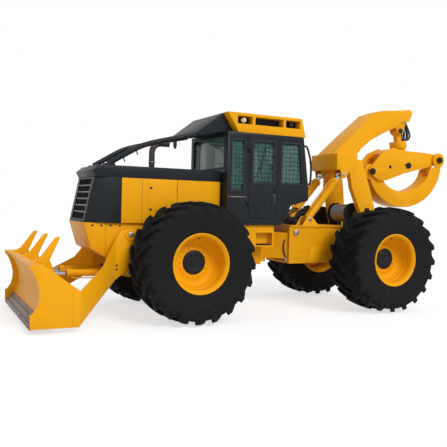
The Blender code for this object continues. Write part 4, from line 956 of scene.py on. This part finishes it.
class SKIDDER_OT_hood(bpy.types.Operator):
    """Hood, grille mesh, guard and exhaust"""
    bl_idname = "skidder.hood"
    bl_label = "Finish Hood"

    def execute(self, context):
        finish_nodes((("hood_top", "front_frame", "dark", 0.008),
                      ("hood_side_left", "front_frame", "yellow", 0.003),
                      ("hood_side_right", "front_frame", "yellow", 0.003),
                      ("grille", "front_frame", "dark", 0.003),
                      ("canopy_guard", "front_frame", "dark", 0.003),
                      ("exhaust", "front_frame", "rust", 0.003)))
        lean = (GRILLE_LOW[0] - GRILLE_HIGH[0]) / (GRILLE_HIGH[1] - GRILLE_LOW[1])
        low, high, half = 1.555, 2.165, 0.405

        def face(z, back=0.0):
            return GRILLE_LOW[0] - (z - GRILLE_LOW[1]) * lean - back

        outline = ((face(low, 0.11), low), (face(low, 0.085), low), (face(high, 0.085), high),
                   (face(high, 0.11), high))
        core = drawn("radiator_core", outline, -half, half, bevel=0)
        fit(core, "plastic", "front_frame")
        wire_r = 0.0016
        count = 74
        upright = bar("wire", (0, 0, 0), (lean * (low - high), 0, high - low), wire_r, 6)
        wires = [Matrix.Translation((face(low, 0.030), -half + 2 * half * (index + 0.5) / count, low))
                 for index in range(count)]
        mesh = copies("grille_mesh", upright, wires)
        rows = [bar("row", (face(z, 0.034), -half, z), (face(z, 0.034), half, z), wire_r, 6)
                for z in (low + 0.0305 * index for index in range(20))]
        fit(join("grille_mesh", [mesh, *rows]), "dark", "front_frame")
        # painted highlights: pale metal strips on the front edges of the grille's bars, and thin rods down
        # its sides, stand for light caught on those edges
        bars = [block("edge", (face(z, 0.016), -half, z + 0.005), (face(z, 0.010), half, z + 0.0125), 0.001)
                for z in (1.55 + 0.62 * index / 6 for index in range(1, 6))]
        edges = [bar("edge", (face(low, 0.003), sign * half, low), (face(high, 0.003), sign * half, high),
                     0.004, 8) for sign in SIGNS]
        fit(join("grille_painted_highlights", bars + edges), "bright", "front_frame")

        handles = []
        hinges = []
        for sign in SIGNS:
            y = sign * HOOD_DOOR_Y
            for z in (1.72, 2.06):
                handles.append(bar("latch", (2.36, y, z), (2.36, y + sign * 0.008, z), 0.021, 24, 0.002))
                handles.append(sided_block("grip", sign, (2.34, HOOD_DOOR_Y, z - 0.004),
                                           (2.38, HOOD_DOOR_Y + 0.014, z + 0.004), 0.002))
                hinges.append(bar("hinge", (1.927, y, z - 0.05), (1.927, y, z + 0.05), 0.008, 12, 0.002))
        fit(join("hood_latches", handles), "plastic", "front_frame")
        fit(join("hood_hinges", hinges), "yellow", "front_frame")
        rows = [((x, sign * HOOD_SIDE_Y, z), (0, sign, 0), 0.008)
                for sign in SIGNS for z in (2.17, 1.535) for x in (1.20, 1.50, 1.80, 2.56, 2.78)]
        fit(bolts("hood_bolts", rows), "yellow", "front_frame")

        def skirt(sign):
            outline = ((3.06, 0.972), (3.06, 1.4985), (2.34, 1.4985), (2.34, 1.12), (2.58, 0.972))
            return drawn("skirt", outline, *across_band(sign, 0.47, 0.50))
        fit(across_both("nose_skirts", skirt), "yellow", "front_frame")
        # painted shade: flat dark discs on the skirts stand for the shade inside four openings
        hole_shade_discs = [bar("hole_shade_disc", (x, sign * 0.4985, 1.455), (x, sign * 0.5015, 1.455), 0.0165, 16)
                 for x in (3.27 - 0.145 * index for index in range(4)) for sign in SIGNS]
        fit(join("nose_hole_painted_shade", hole_shade_discs), "pad", "front_frame")
        seams = []
        for sign in SIGNS:
            for x, wide in ((1.909, 0.007), (2.50, 0.004)):
                seams.append(sided_block("seam", sign, (x - wide / 2, HOOD_SIDE_Y - 0.001, 1.502),
                                         (x + wide / 2, HOOD_SIDE_Y + 0.0012, 2.199), 0))
        fit(join("hood_seams", seams), "pad", "front_frame")

        cap = spun("radiator_cap", ((0.0, 0.0), (0.058, 0.0), (0.060, 0.018), (0.048, 0.022), (0.045, 0.034),
                                    (0.0, 0.038)), (2.95, 0.0, 2.384), 32, 1, "Z")
        fit(cap, "plastic", "front_frame")
        clamp = ring("exhaust_clamp", (2.16, 0, 2.50), (0, 0, 1), 0.054, 0.008, 32, 8)
        fit(clamp, "zinc", "front_frame")

        def guard_tube(sign):
            return pipe("tube", [(x, sign * y, z) for x, y, z in GUARD_TUBE], 0.042, 6, 5)
        fit(across_both("guard_tubes", guard_tube), "dark", "front_frame")
        brackets = []
        for sign in SIGNS:
            brackets.append(sided_block("bracket", sign, (1.93, 0.518, 2.73), (1.99, 0.532, 2.86), 0.003))
            brackets.append(sided_block("foot", sign, (1.945, 0.51, 2.70), (1.975, 0.545, 2.745), 0.003))
            for x, y, z in ((2.60, 0.491, 2.67), (2.80, 0.472, 2.55)):
                brackets.append(bar("stud", (x, sign * y, z - 0.02), (x - 0.03, sign * y, z - 0.10),
                                    0.010, 10, 0.002))
        fit(join("guard_brackets", brackets), "dark", "front_frame")
        return {"FINISHED"}


def window_body(body, word):
    """The body that a side window rides on: its side's door, or the cab."""
    return body + "_" + word if body == "cab_door" else body


class SKIDDER_OT_cab(bpy.types.Operator):
    """Cab, doors, roof, glass and seals"""
    bl_idname = "skidder.cab"
    bl_label = "Finish Cab"

    def execute(self, context):
        finish_nodes((("cab_shell", "front_frame", "dark", 0.005),
                      ("cab_roof", "front_frame", "yellow", 0.006),
                      ("cab_glass_front", "front_frame", "glass", 0.001),
                      ("cab_glass_rear", "front_frame", "glass", 0.001),
                      ("cab_door_left", "cab_door_left", "dark", 0.004),
                      ("cab_door_right", "cab_door_right", "dark", 0.004),
                      ("door_glass_left", "cab_door_left", "glass", 0.001),
                      ("door_glass_right", "cab_door_right", "glass", 0.001)))
        for name, body, outline in WINDOWS:
            for word, sign in SIDES:
                band = across_band(sign, CAB_SIDE_Y - 0.002, CAB_SIDE_Y + 0.004)
                seal = border("seal_%s_%s" % (name, word), outline, *band, 0.016)
                fit(seal, "pad", window_body(body, word))
        outline = ((-0.64, 2.42), (0.64, 2.42), (0.64, 2.96), (-0.64, 2.96))
        front = border("seal_windscreen", outline, 1.118, 1.126, 0.018, "YZ")
        fit(front, "pad", "front_frame")
        for word, sign in SIDES:
            body = "cab_door_" + word
            y = sign * CAB_SIDE_Y
            grip = ((0, 1.88), (0.035, 1.885), (0.038, 1.94), (0.035, 1.995), (0, 2.0))
            handle = [sided_block("plate", sign, (0.186, CAB_SIDE_Y, 1.86), (0.246, CAB_SIDE_Y + 0.006, 2.02),
                                  0.003),
                      pipe("grip", [(0.226, y + sign * out, z) for out, z in grip], 0.007)]
            fit(join("door_handle_" + word, handle), "plastic", body)
            inner = sign * (CAB_SIDE_Y - 0.022)
            wiper = [bar("arm", (0.61, inner, 2.23), (0.43, inner, 2.60), 0.005, 8, 0.001),
                     bar("blade", (0.48, inner, 2.42), (0.38, inner, 2.82), 0.006, 8, 0.001),
                     bar("pivot", (0.61, inner - 0.008, 2.23), (0.61, inner + 0.008, 2.23), 0.016, 16, 0.002)]
            fit(join("door_wiper_" + word, wiper), "plastic", body)

            route = ((-0.372, 0.70, 2.88), (-0.43, 0.71, 2.90), (-0.475, 0.715, 2.82), (-0.535, 0.715, 2.62),
                     (-0.545, 0.715, 2.45), (-0.54, 0.715, 2.27), (-0.515, 0.71, 2.21), (-0.468, 0.70, 2.22))
            rail = pipe("rail", [(x, sign * out, z) for x, out, z in route], 0.018)
            fit(rail, "dark", "front_frame")
            rail.name = rail.data.name = "cab_handrail_" + word
        spots = ((-0.41, 2.05), (0.09, 2.05), (0.07, 1.64), (0.80, 1.60), (1.07, 1.60), (1.07, 1.90),
                 (-0.20, 2.99), (0.10, 3.00), (0.80, 3.00), (1.07, 3.00))
        rows = [((x, sign * CAB_SIDE_Y, z), (0, sign, 0), 0.008) for sign in SIGNS for x, z in spots]
        fit(bolts("cab_bolts", rows), "dark", "front_frame")

        def trim(sign):
            return drawn("trim", ((0.76, 1.955), (1.10, 1.955), (1.10, 1.970), (0.76, 1.970)),
                         *across_band(sign, CAB_SIDE_Y - 0.001, CAB_SIDE_Y + 0.004), bevel=0.001)
        fit(across_both("cab_side_strips", trim), "steel", "front_frame")

        def low_pane(sign):
            outer = CAB_SIDE_Y - CAB_WALL - 0.0003
            return sided_block("pane", sign, (0.785, outer - 0.008, 2.03), (1.07, outer, 2.3703), 0)
        fit(across_both("quarter_low_panes", low_pane), "glass", "front_frame")
        return {"FINISHED"}


def lamp(name, place, facing, radius, lens):
    """A round work lamp: a bowl, a rim and a domed lens, on a small bracket."""
    place, facing = Vector(place), Vector(facing).normalized()
    bowl = ((0.0, -0.055), (radius * 0.45, -0.055), (radius * 0.8, -0.030), (radius * 0.95, 0.0),
            (radius, 0.006), (radius, 0.020), (radius * 0.93, 0.023), (radius * 0.90, 0.014), (0.0, 0.012))
    glass = ((0.0, 0.026), (radius * 0.4, 0.0245), (radius * 0.75, 0.020), (radius * 0.90, 0.0145),
             (0.0, 0.0125))
    turn = Matrix.Translation(place) @ facing.to_track_quat("Z", "Y").to_matrix().to_4x4()
    shell = spun(name + "_shell", bowl, (0, 0, 0), 32, 1, "Z")
    shell.data.transform(turn)
    front = spun(name + "_lens", glass, (0, 0, 0), 32, 1, "Z")
    front.data.transform(turn)
    fit(front, lens, "front_frame", slot="glass")
    foot = block("foot", place + Vector((-0.012, -0.012, -radius - 0.012)),
                 place + Vector((0.012, 0.012, -0.02)), 0.002)
    fit(join(name + "_body", [shell, foot]), "plastic", "front_frame")


class SKIDDER_OT_lamps(bpy.types.Operator):
    """Work lamps in the roof's pockets"""
    bl_idname = "skidder.lamps"
    bl_label = "Make Lamps"

    def execute(self, context):
        for word, sign in SIDES:
            lamp("lamp_front_" + word, (0.81, sign * 0.68, 3.238), (0.35, sign * 0.93, 0), 0.052, "lens")
            lamp("lamp_rear_" + word, (-0.13, sign * 0.68, 3.238), (-0.75, sign * 0.66, 0), 0.055, "plastic")
            # painted shade: thin dark sheets over each roof pocket's inner wall and bottom
            pocket_wall_shades = [sided_block("pocket_wall_shade", sign, (rear + 0.001, 0.5905, 3.171),
                                  (front - 0.001, 0.597, 3.299), 0)
                      for rear, front in ROOF_POCKETS]
            pocket_floor_shades = [sided_block("floor", sign, (rear + 0.001, 0.592, 3.1705),
                                  (front - 0.001, 0.735, 3.176), 0)
                      for rear, front in ROOF_POCKETS]
            fit(join("roof_pocket_painted_shade_" + word, pocket_wall_shades + pocket_floor_shades), "dark", "front_frame")
        return {"FINISHED"}


SWELL_FRAMES = 12
SWELL_LIMIT = 0.006


def swell(pad):
    """Blow a pad up with a short cloth simulation, and hold each point near its start."""
    starts = [vertex.co.copy() for vertex in pad.data.vertices]
    pick(pad)
    cloth = pad.modifiers.new("swell", "CLOTH")
    cloth.settings.use_pressure = True
    cloth.settings.uniform_pressure_force = 4.0
    cloth.settings.effector_weights.gravity = 0.0
    cloth.point_cache.frame_start, cloth.point_cache.frame_end = 1, SWELL_FRAMES
    scene = bpy.context.scene
    for frame_number in range(1, SWELL_FRAMES + 1):
        scene.frame_set(frame_number)
    bpy.ops.object.modifier_apply(modifier=cloth.name)
    scene.frame_set(1)
    for vertex, start in zip(pad.data.vertices, starts):
        move = vertex.co - start
        if move.length > SWELL_LIMIT:
            vertex.co = start + move.normalized() * SWELL_LIMIT


def cushion(name, low, high, crown, tilt=0.0, about=(0, 0, 0)):
    """A crowned pad, flat or upright, that a cloth simulation swells."""
    low, high = Vector(low), Vector(high)
    centre, half = (low + high) / 2, (high - low) / 2
    upright = half.z > half.x
    bpy.ops.mesh.primitive_cube_add(size=2)
    pad = bpy.context.active_object
    pad.name = name
    with editing(pad):
        bpy.ops.mesh.subdivide(number_cuts=11)

    def crowned(point):
        if upright:
            rise = (1 - point.z ** 2) * (1 - point.y ** 2)
            return Vector((centre.x + point.x * (half.x - crown * (1 - rise)) * 0.97,
                           centre.y + point.y * half.y * 0.97, centre.z + point.z * half.z * 0.98))
        on_corner = abs(point.x * point.y) > 0.6
        pinch = 1 - 0.10 * max(abs(point.x), abs(point.y), abs(point.z)) * on_corner
        narrow = 0.94 + 0.04 * pinch
        rise = (1 - point.x ** 2) * (1 - point.y ** 2)
        return Vector((centre.x + point.x * half.x * narrow, centre.y + point.y * half.y * narrow,
                       centre.z + point.z * (half.z - crown * (1 - rise)) * 0.97))

    reshape(pad, crowned)
    round_edges(pad, 0.03, 3, 40)
    modify(pad, "REMESH", mode="VOXEL", voxel_size=0.012)
    swell(pad)
    modify(pad, "SMOOTH", factor=0.5, iterations=4)
    if tilt:
        about = Vector(about)
        pad.data.transform(Matrix.Translation(about) @ Matrix.Rotation(tilt, 4, "Y")
                           @ Matrix.Translation(-about))
    fit(pad, "cloth", "front_frame")


class SKIDDER_OT_seat(bpy.types.Operator):
    """Driver's seat, steering wheel and levers"""
    bl_idname = "skidder.seat"
    bl_label = "Make Seat and Controls"

    def execute(self, context):
        cushion("seat_cushion", (0.055, -0.245, 1.865), (0.565, 0.245, 1.985), 0.022)
        cushion("seat_back", (0.0, -0.235, 1.96), (0.095, 0.235, 2.60), 0.020, math.radians(-7.5),
                (0.05, 0, 1.95))
        base = [block("pan", (0.10, -0.20, 1.845), (0.52, 0.20, 1.872), 0.008),
                block("slide", (0.17, -0.12, 1.79), (0.43, 0.12, 1.85), 0.006),
                block("plinth", (0.155, -0.135, 1.5403), (0.445, 0.135, 1.60), 0.01)]
        for index in range(5):
            inset = 0.012 * (index % 2)
            base.append(block("fold", (0.175 + inset, -0.115 + inset, 1.60 + index * 0.039),
                              (0.425 - inset, 0.115 - inset, 1.638 + index * 0.039), 0.012))
        fit(join("seat_base", base), "plastic", "front_frame", "seat")

        outline = ((0.835, 1.545), (1.060, 1.545), (1.060, 2.352), (0.958, 2.352), (0.878, 2.20))
        dash = drawn("dash_panel", outline, -0.445, 0.445, bevel=0.015)
        fit(dash, "plastic", "front_frame", "controls")
        hub = Vector((0.733, 0, 2.31))
        along = Vector((-0.585, 0, 0.811)).normalized()
        across = Vector((0.811, 0, 0.585)).normalized()
        wheel = [ring("rim", hub, along, 0.172, 0.011, 40, 10),
                 bar("hub", hub - along * 0.02, hub + along * 0.012, 0.045, 24, 0.006),
                 bar("column", (0.93, 0, 2.05), hub - along * 0.015, 0.026, 20, 0.003)]
        for angle in (90, 210, 330):
            out = across * math.cos(math.radians(angle)) + Vector((0, 1, 0)) * math.sin(math.radians(angle))
            wheel.append(bar("spoke", hub + out * 0.03, hub + out * 0.168, 0.009, 10, 0.002))
        fit(join("steering_wheel", wheel), "plastic", "front_frame")
        levers = []
        for sign in SIGNS:
            levers.append(sided_block("console", sign, (0.18, 0.29, 1.545), (0.62, 0.40, 1.99), 0.014))
            levers.append(bar("stick", (0.55, sign * 0.345, 1.98), (0.56, sign * 0.345, 2.10),
                              0.010, 12, 0.002))
            levers.append(bar("knob", (0.56, sign * 0.345, 2.09), (0.565, sign * 0.345, 2.17),
                              0.020, 16, 0.008, 0.026))
        fit(join("lever_consoles", levers), "plastic", "front_frame")
        return {"FINISHED"}


class SKIDDER_OT_guards(bpy.types.Operator):
    """Wire guards in the side windows"""
    bl_idname = "skidder.guards"
    bl_label = "Make Window Guards"

    def execute(self, context):
        details = context.scene.skidder_details
        wire_r = details.guard_wire
        pitch = details.guard_pitch
        for name, body, outline in WINDOWS:
            x0, x1 = min(x for x, z in outline), max(x for x, z in outline)
            z0, z1 = min(z for x, z in outline), max(z for x, z in outline)
            columns, rows = round((x1 - x0) / pitch), round((z1 - z0) / pitch)
            rear_low, rear_high = outline[0][0], outline[3][0]
            slope = (rear_high - rear_low) / (z1 - z0)
            for word, sign in SIDES:
                y = sign * (CAB_SIDE_Y - 0.010)
                wires = []
                for index in range(columns):
                    x = x0 + (x1 - x0) * (index + 0.5) / columns
                    high = z1 if slope == 0 or x > rear_high else z0 + (x - rear_low) / slope
                    wires.append(bar("wire", (x, y, z0 - 0.004), (x, y, high + 0.004), wire_r, 8))
                for index in range(rows):
                    z = z0 + (z1 - z0) * (index + 0.5) / rows
                    start = rear_low + slope * (z - z0)
                    wires.append(bar("wire", (start - 0.004, y - sign * 0.006, z),
                                     (x1 + 0.004, y - sign * 0.006, z), wire_r, 8))
                guard = join("guard_%s_%s" % (name, word), wires)
                fit(guard, "dark", window_body(body, word))
        half = 0.58
        wires = []
        for index in range(12):
            z = 2.30 + 0.05 * index
            x = -0.42 - 0.15 * (2.55 - z)
            wires.append(bar("wire", (x, -half, z), (x, half, z), wire_r, 8))
        for index in range(24):
            y = half * (index - 11.5) / 12
            wires.append(bar("wire", (-0.462, y, 2.26), (-0.362, y, 2.92), wire_r, 8))
        fit(join("guard_rear", wires), "dark", "front_frame")
        return {"FINISHED"}


class SKIDDER_OT_arch(bpy.types.Operator):
    """Arch, hanger, grapple head and tongs, with their pins"""
    bl_idname = "skidder.arch"
    bl_label = "Finish Arch and Grapple"

    def execute(self, context):
        for node, width in (("arch", 0.005), ("hanger", 0.006), ("grapple_head", 0.006),
                            ("tong_front", 0.008), ("tong_rear", 0.008)):
            fit(refined(node, width), "yellow", node, node)

        def foot_pin(sign):
            face = Vector((ARCH_PIN[0], sign * (ARCH_FOOT_Y + 0.004), ARCH_PIN[1]))
            washer = bar("washer", face, face + Vector((0, sign * 0.012, 0)), 0.095, 36, 0.003)
            head = bar("head", face, face + Vector((0, sign * 0.032, 0)), 0.060, 28, 0.006)
            return join("pin", [washer, head])
        fit(across_both("arch_pin_caps", foot_pin), "hub", "arch")
        rows = [place for sign in SIGNS
                for place in bolt_circle((ARCH_PIN[0], sign * (ARCH_FOOT_Y + 0.016), ARCH_PIN[1]),
                                         0.078, 6, 0.008, sign)]
        fit(bolts("arch_pin_bolts", rows), "zinc", "arch")

        # body, place and half width of each cross pin, and the radius of its dark cap
        for name, body, place, half, radius in (
                ("cap_hanger_pin", "arch", Vector((HANGER_PIN[0], 0, HANGER_PIN[1])), 0.111, 0.052),
                ("cap_tong_front", "grapple_head", on_grapple(TONG_REACH, 0), 0.251, 0.066),
                ("cap_tong_rear", "grapple_head", on_grapple(-TONG_REACH, 0), 0.191, 0.066),
                ("cap_head_middle", "grapple_head", on_grapple(0, 0), 0.251, 0.062)):
            caps = []
            for sign in SIGNS:
                start = place + Vector((0, sign * (half - 0.012), 0))
                caps.append(bar("cap", start, start + Vector((0, sign * 0.028, 0)), radius, 28, 0.006))
                if name != "cap_hanger_pin":
                    keeper = place + Vector((0.085, sign * (half - 0.010), 0.012))
                    caps.append(bar("keeper", keeper, keeper + Vector((0, sign * 0.018, 0)),
                                    0.014, 12, 0.003))
            fit(join(name, caps), "hub", body)
        plug_at = on_grapple(0.47, 0.03)
        plates = [bar("plug", plug_at + Vector((0, sign * 0.236, 0)), plug_at + Vector((0, sign * 0.243, 0)),
                      0.035, 28, 0.002) for sign in SIGNS]
        fit(join("head_plugs", plates), "hub", "grapple_head")
        ring_rows = [(on_grapple(0.155 * math.cos(angle), 0.36 + 0.14, 0.155 * math.sin(angle)),
                      on_grapple(0, 1) - on_grapple(0, 0), 0.009) for angle in angles(16)]
        fit(bolts("rotator_bolts", ring_rows), "zinc", "hanger")
        seam = [((-1.33, y, z), (1, 0, 0), 0.012) for y in (-0.34, 0.34) for z in (2.60, 2.78)]
        fit(bolts("arch_beam_bolts", seam), "yellow", "arch")
        return {"FINISHED"}


class SKIDDER_OT_cylinders(bpy.types.Operator):
    """Hydraulic cylinders with their ports and hard lines"""
    bl_idname = "skidder.cylinders"
    bl_label = "Finish Cylinders"

    def execute(self, context):
        # kind, pins and distance from the middle, barrel's radius and share, half width of the pins, and the
        # bodies at the barrel's pin and at the rod's eye
        for kind, (pin, eye, y), radius, share, half, carriers in (
                ("blade", BLADE_CYL, 0.055, 0.80, 0.087, ("front_frame", "blade")),
                ("arch", ARCH_CYL, 0.075, 0.86, 0.118, ("rear_frame", "arch"))):
            along = Vector((eye[0] - pin[0], 0, eye[1] - pin[1]))
            length = along.length
            along.normalize()
            out = Vector((along.z, 0, -along.x))
            for word, sign in SIDES:
                node = "%s_cylinder_%s_" % (kind, word)
                body = "%s_barrel_%s" % (kind, word)
                fit(refined(node + "barrel", 0.004), "yellow", body, node + "barrel")
                fit(refined(node + "rod", 0.002), "chrome", "%s_rod_%s" % (kind, word), node + "rod")
                start = Vector((pin[0], sign * y, pin[1]))
                ports = []
                for share_at in (0.20, share - 0.07):
                    spot = start + along * length * share_at + out * (radius - 0.006)
                    ports.append(bar("port", spot, spot + out * 0.034, 0.022, 8, 0.003))
                line_start = start + along * length * (share - 0.07) + out * (radius + 0.022)
                line_end = start + along * length * 0.24 + out * (radius + 0.022)
                ports.append(pipe("line", [line_start,
                                           line_start + (line_end - line_start) * 0.03 + out * 0.006,
                                           (line_start + line_end) / 2,
                                           line_end + (line_start - line_end) * 0.03 + out * 0.006,
                                           line_end], 0.009))
                fit(join("ports_%s_%s" % (kind, word), ports), "yellow", body)
                ends = (("pin", start), ("eye", Vector((eye[0], sign * y, eye[1]))))
                for (end, where), carrier in zip(ends, carriers):
                    heads = [bar("head", where + Vector((0, side * (half - 0.004), 0)),
                                 where + Vector((0, side * (half + 0.012), 0)), 0.036, 20, 0.004)
                             for side in SIGNS]
                    fit(join("pin_%s_%s_%s" % (kind, end, word), heads), "zinc", carrier)
        return {"FINISHED"}


class SKIDDER_OT_hoses(bpy.types.Operator):
    """Hydraulic hoses and their fittings"""
    bl_idname = "skidder.hoses"
    bl_label = "Make Hoses"

    def execute(self, context):
        radius = context.scene.skidder_details.hose_radius
        for index, y in enumerate((-0.10, -0.062, -0.022, 0.022, 0.062, 0.10)):
            out = 0.02 * (index % 2)
            loop = [(-3.25, y * 0.8, 3.62), (-3.27 - out, y * 0.9, 3.53), (-3.32 - out, y, 3.44),
                    (-3.345 - out, y * 1.1, 3.35), (-3.32 - out, y * 1.15, 3.27), (-3.26, y * 1.1, 3.235),
                    (-3.20, y, 3.245)]
            rear = pipe("rotator_hose_%d" % (index + 1), loop, radius * 1.2)
            paint_hose(rear)
            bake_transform(rear)
        # hoses behind the cab, over the steering pivot, and the ones that feed the arch cylinders
        for index, (y, z) in enumerate(((0.10, 1.66), (0.16, 1.72), (-0.10, 1.64), (-0.16, 1.70))):
            piece = pipe("pivot_hose_%d" % (index + 1),
                         [(0.02, y, 1.62), (-0.10, y * 1.05, z - 0.01), (-0.25, y * 1.1, z + 0.02),
                          (-0.42, y * 1.05, z), (-0.55, y, 1.57), (-0.60, y, 1.50)], radius)
            paint_hose(piece)
            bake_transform(piece)
        valve = [block("valve", (-0.72, -0.20, 1.4905), (-0.56, 0.20, 1.60), 0.006)]
        valve += [bar("spool", (-0.64, y, 1.59), (-0.64, y, 1.64), 0.026, 12, 0.003)
                  for y in (-0.15, -0.05, 0.05, 0.15)]
        fit(join("valve_block", valve), "dark", "rear_frame")
        for word, sign in SIDES:
            for index, shift in enumerate((0.0, 0.04)):
                route = [(-0.60 - shift, sign * 0.15, 1.60), (-0.61 - shift, sign * 0.15, 1.65),
                         (-0.66 - shift, sign * 0.155, 1.73 - shift),
                         (-0.76 - shift, sign * 0.17, 1.785 - shift),
                         (-0.86, sign * 0.20, 1.81 - shift), (-0.92, sign * 0.225, 1.79 - shift)]
                feed = pipe("arch_feed_%s_%d" % (word, index + 1), route, radius * 0.8)
                paint_hose(feed)
                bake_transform(feed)
            hose("frame_hose_" + word, "rear_frame",
                 [(-0.345, sign * 0.30, 1.30), (-0.28, sign * 0.31, 1.22), (-0.27, sign * 0.32, 1.05),
                  (-0.30, sign * 0.33, 0.92), (-0.345, sign * 0.33, 0.86)], radius)
            hose("brake_hose_" + word, "front_frame",
                 [(1.52, sign * 0.402, 1.30), (1.56, sign * 0.44, 1.28), (1.62, sign * 0.47, 1.20),
                  (1.70, sign * 0.47, 1.10), (1.74, sign * 0.45, 1.06)], radius * 0.7)
        for body, parts in sorted(FITTINGS.items()):
            fit(join("fittings_" + body, parts), "zinc", body)
        return {"FINISHED"}


class SKIDDER_OT_studio(bpy.types.Operator):
    """White floor, soft light and the camera at the photograph's angle"""
    bl_idname = "skidder.studio"
    bl_label = "Make Studio"

    def execute(self, context):
        bpy.ops.mesh.primitive_plane_add(size=120, location=(0, 0, -0.0005))
        floor = bpy.context.active_object
        floor.name = "floor"
        white = Finish("studio_floor")
        tree = white.tree
        path = [Link(white, tree.nodes.new("ShaderNodeLightPath").outputs[name])
                for name in ("Is Camera Ray", "Is Glossy Ray", "Is Transmission Ray")]
        seen = white.add("ShaderNodeMath", {"operation": "MINIMUM"}, [path[0] + path[1] + path[2], 1.0])
        bounce = white.add("ShaderNodeBsdfDiffuse", inputs={"Color": (0.72, 0.72, 0.72, 1)})
        shown = white.add("ShaderNodeAddShader", inputs=[
            white.add("ShaderNodeBsdfDiffuse", inputs={"Color": (0.42, 0.42, 0.42, 1)}),
            white.add("ShaderNodeEmission", inputs={"Color": (1, 1, 1, 1), "Strength": 0.66})])
        result = white.add("ShaderNodeMixShader", inputs=[seen, bounce, shown])
        tree.links.new(result.socket, tree.nodes["Material Output"].inputs["Surface"])
        floor.data.materials.append(white.material)

        world = bpy.data.worlds.new("studio_world")
        context.scene.world = world
        world.use_nodes = True
        tree = world.node_tree
        light_path = tree.nodes.new("ShaderNodeLightPath")
        add_one = tree.nodes.new("ShaderNodeMath")
        add_two = tree.nodes.new("ShaderNodeMath")
        add_two.use_clamp = True
        tree.links.new(light_path.outputs["Is Camera Ray"], add_one.inputs[0])
        tree.links.new(light_path.outputs["Is Glossy Ray"], add_one.inputs[1])
        tree.links.new(add_one.outputs[0], add_two.inputs[0])
        tree.links.new(light_path.outputs["Is Transmission Ray"], add_two.inputs[1])
        strength = tree.nodes.new("ShaderNodeMapRange")
        strength.inputs["To Min"].default_value = 0.62
        strength.inputs["To Max"].default_value = 1.0
        tree.links.new(add_two.outputs[0], strength.inputs["Value"])
        background = tree.nodes["Background"]
        background.inputs["Color"].default_value = (1, 1, 1, 1)
        tree.links.new(strength.outputs[0], background.inputs["Strength"])

        key_from = Vector((-0.15, 0.78, 0.62))
        bpy.ops.object.light_add(type="SUN", location=key_from * 12,
                                 rotation=key_from.to_track_quat("Z", "Y").to_euler())
        key = bpy.context.active_object
        key.data.energy = 1.75
        key.data.angle = math.radians(24)

        forward = Vector((-math.sin(CAMERA_YAW) * math.cos(CAMERA_PITCH),
                          -math.cos(CAMERA_YAW) * math.cos(CAMERA_PITCH), math.sin(CAMERA_PITCH)))
        right = forward.cross(UP).normalized()
        up = right.cross(forward)
        turned_right = right * math.cos(CAMERA_ROLL) + up * math.sin(CAMERA_ROLL)
        turned_up = up * math.cos(CAMERA_ROLL) - right * math.sin(CAMERA_ROLL)
        axes = Matrix((turned_right, turned_up, -forward)).transposed()
        bpy.ops.object.camera_add(location=CAMERA_AT, rotation=axes.to_euler())
        camera = bpy.context.active_object
        camera.data.lens = CAMERA_LENS
        camera.data.sensor_width = 36
        camera.data.clip_end = 500
        context.scene.camera = camera
        context.scene.view_settings.view_transform = "Standard"
        return {"FINISHED"}


STEPS = (SKIDDER_OT_finishes, SKIDDER_OT_tyres, SKIDDER_OT_rims, SKIDDER_OT_frames, SKIDDER_OT_winch,
         SKIDDER_OT_blade, SKIDDER_OT_hood, SKIDDER_OT_cab, SKIDDER_OT_lamps, SKIDDER_OT_seat,
         SKIDDER_OT_guards, SKIDDER_OT_arch, SKIDDER_OT_cylinders, SKIDDER_OT_hoses, SKIDDER_OT_studio)


class SKIDDER_PT_panel(bpy.types.Panel):
    """Lists the steps and their settings"""
    bl_idname = "SKIDDER_PT_panel"
    bl_label = "Skidder Finish"
    bl_space_type = "VIEW_3D"
    bl_region_type = "UI"
    bl_category = "Skidder"

    def draw(self, context):
        for settings in (context.scene.skidder_paint, context.scene.skidder_details):
            for name in settings.__annotations__:
                self.layout.prop(settings, name)
        for step in STEPS:
            self.layout.operator(step.bl_idname)


CLASSES = (PaintSettings, DetailSettings, *STEPS, SKIDDER_PT_panel)


def register():
    for item in CLASSES:
        bpy.utils.register_class(item)
    bpy.types.Scene.skidder_paint = bpy.props.PointerProperty(type=PaintSettings)
    bpy.types.Scene.skidder_details = bpy.props.PointerProperty(type=DetailSettings)


def unregister():
    del bpy.types.Scene.skidder_details
    del bpy.types.Scene.skidder_paint
    for item in reversed(CLASSES):
        bpy.utils.unregister_class(item)


def main():
    register()
    for step in STEPS:
        getattr(bpy.ops.skidder, step.bl_idname.split(".")[1])()


if __name__ == "__main__":
    main()
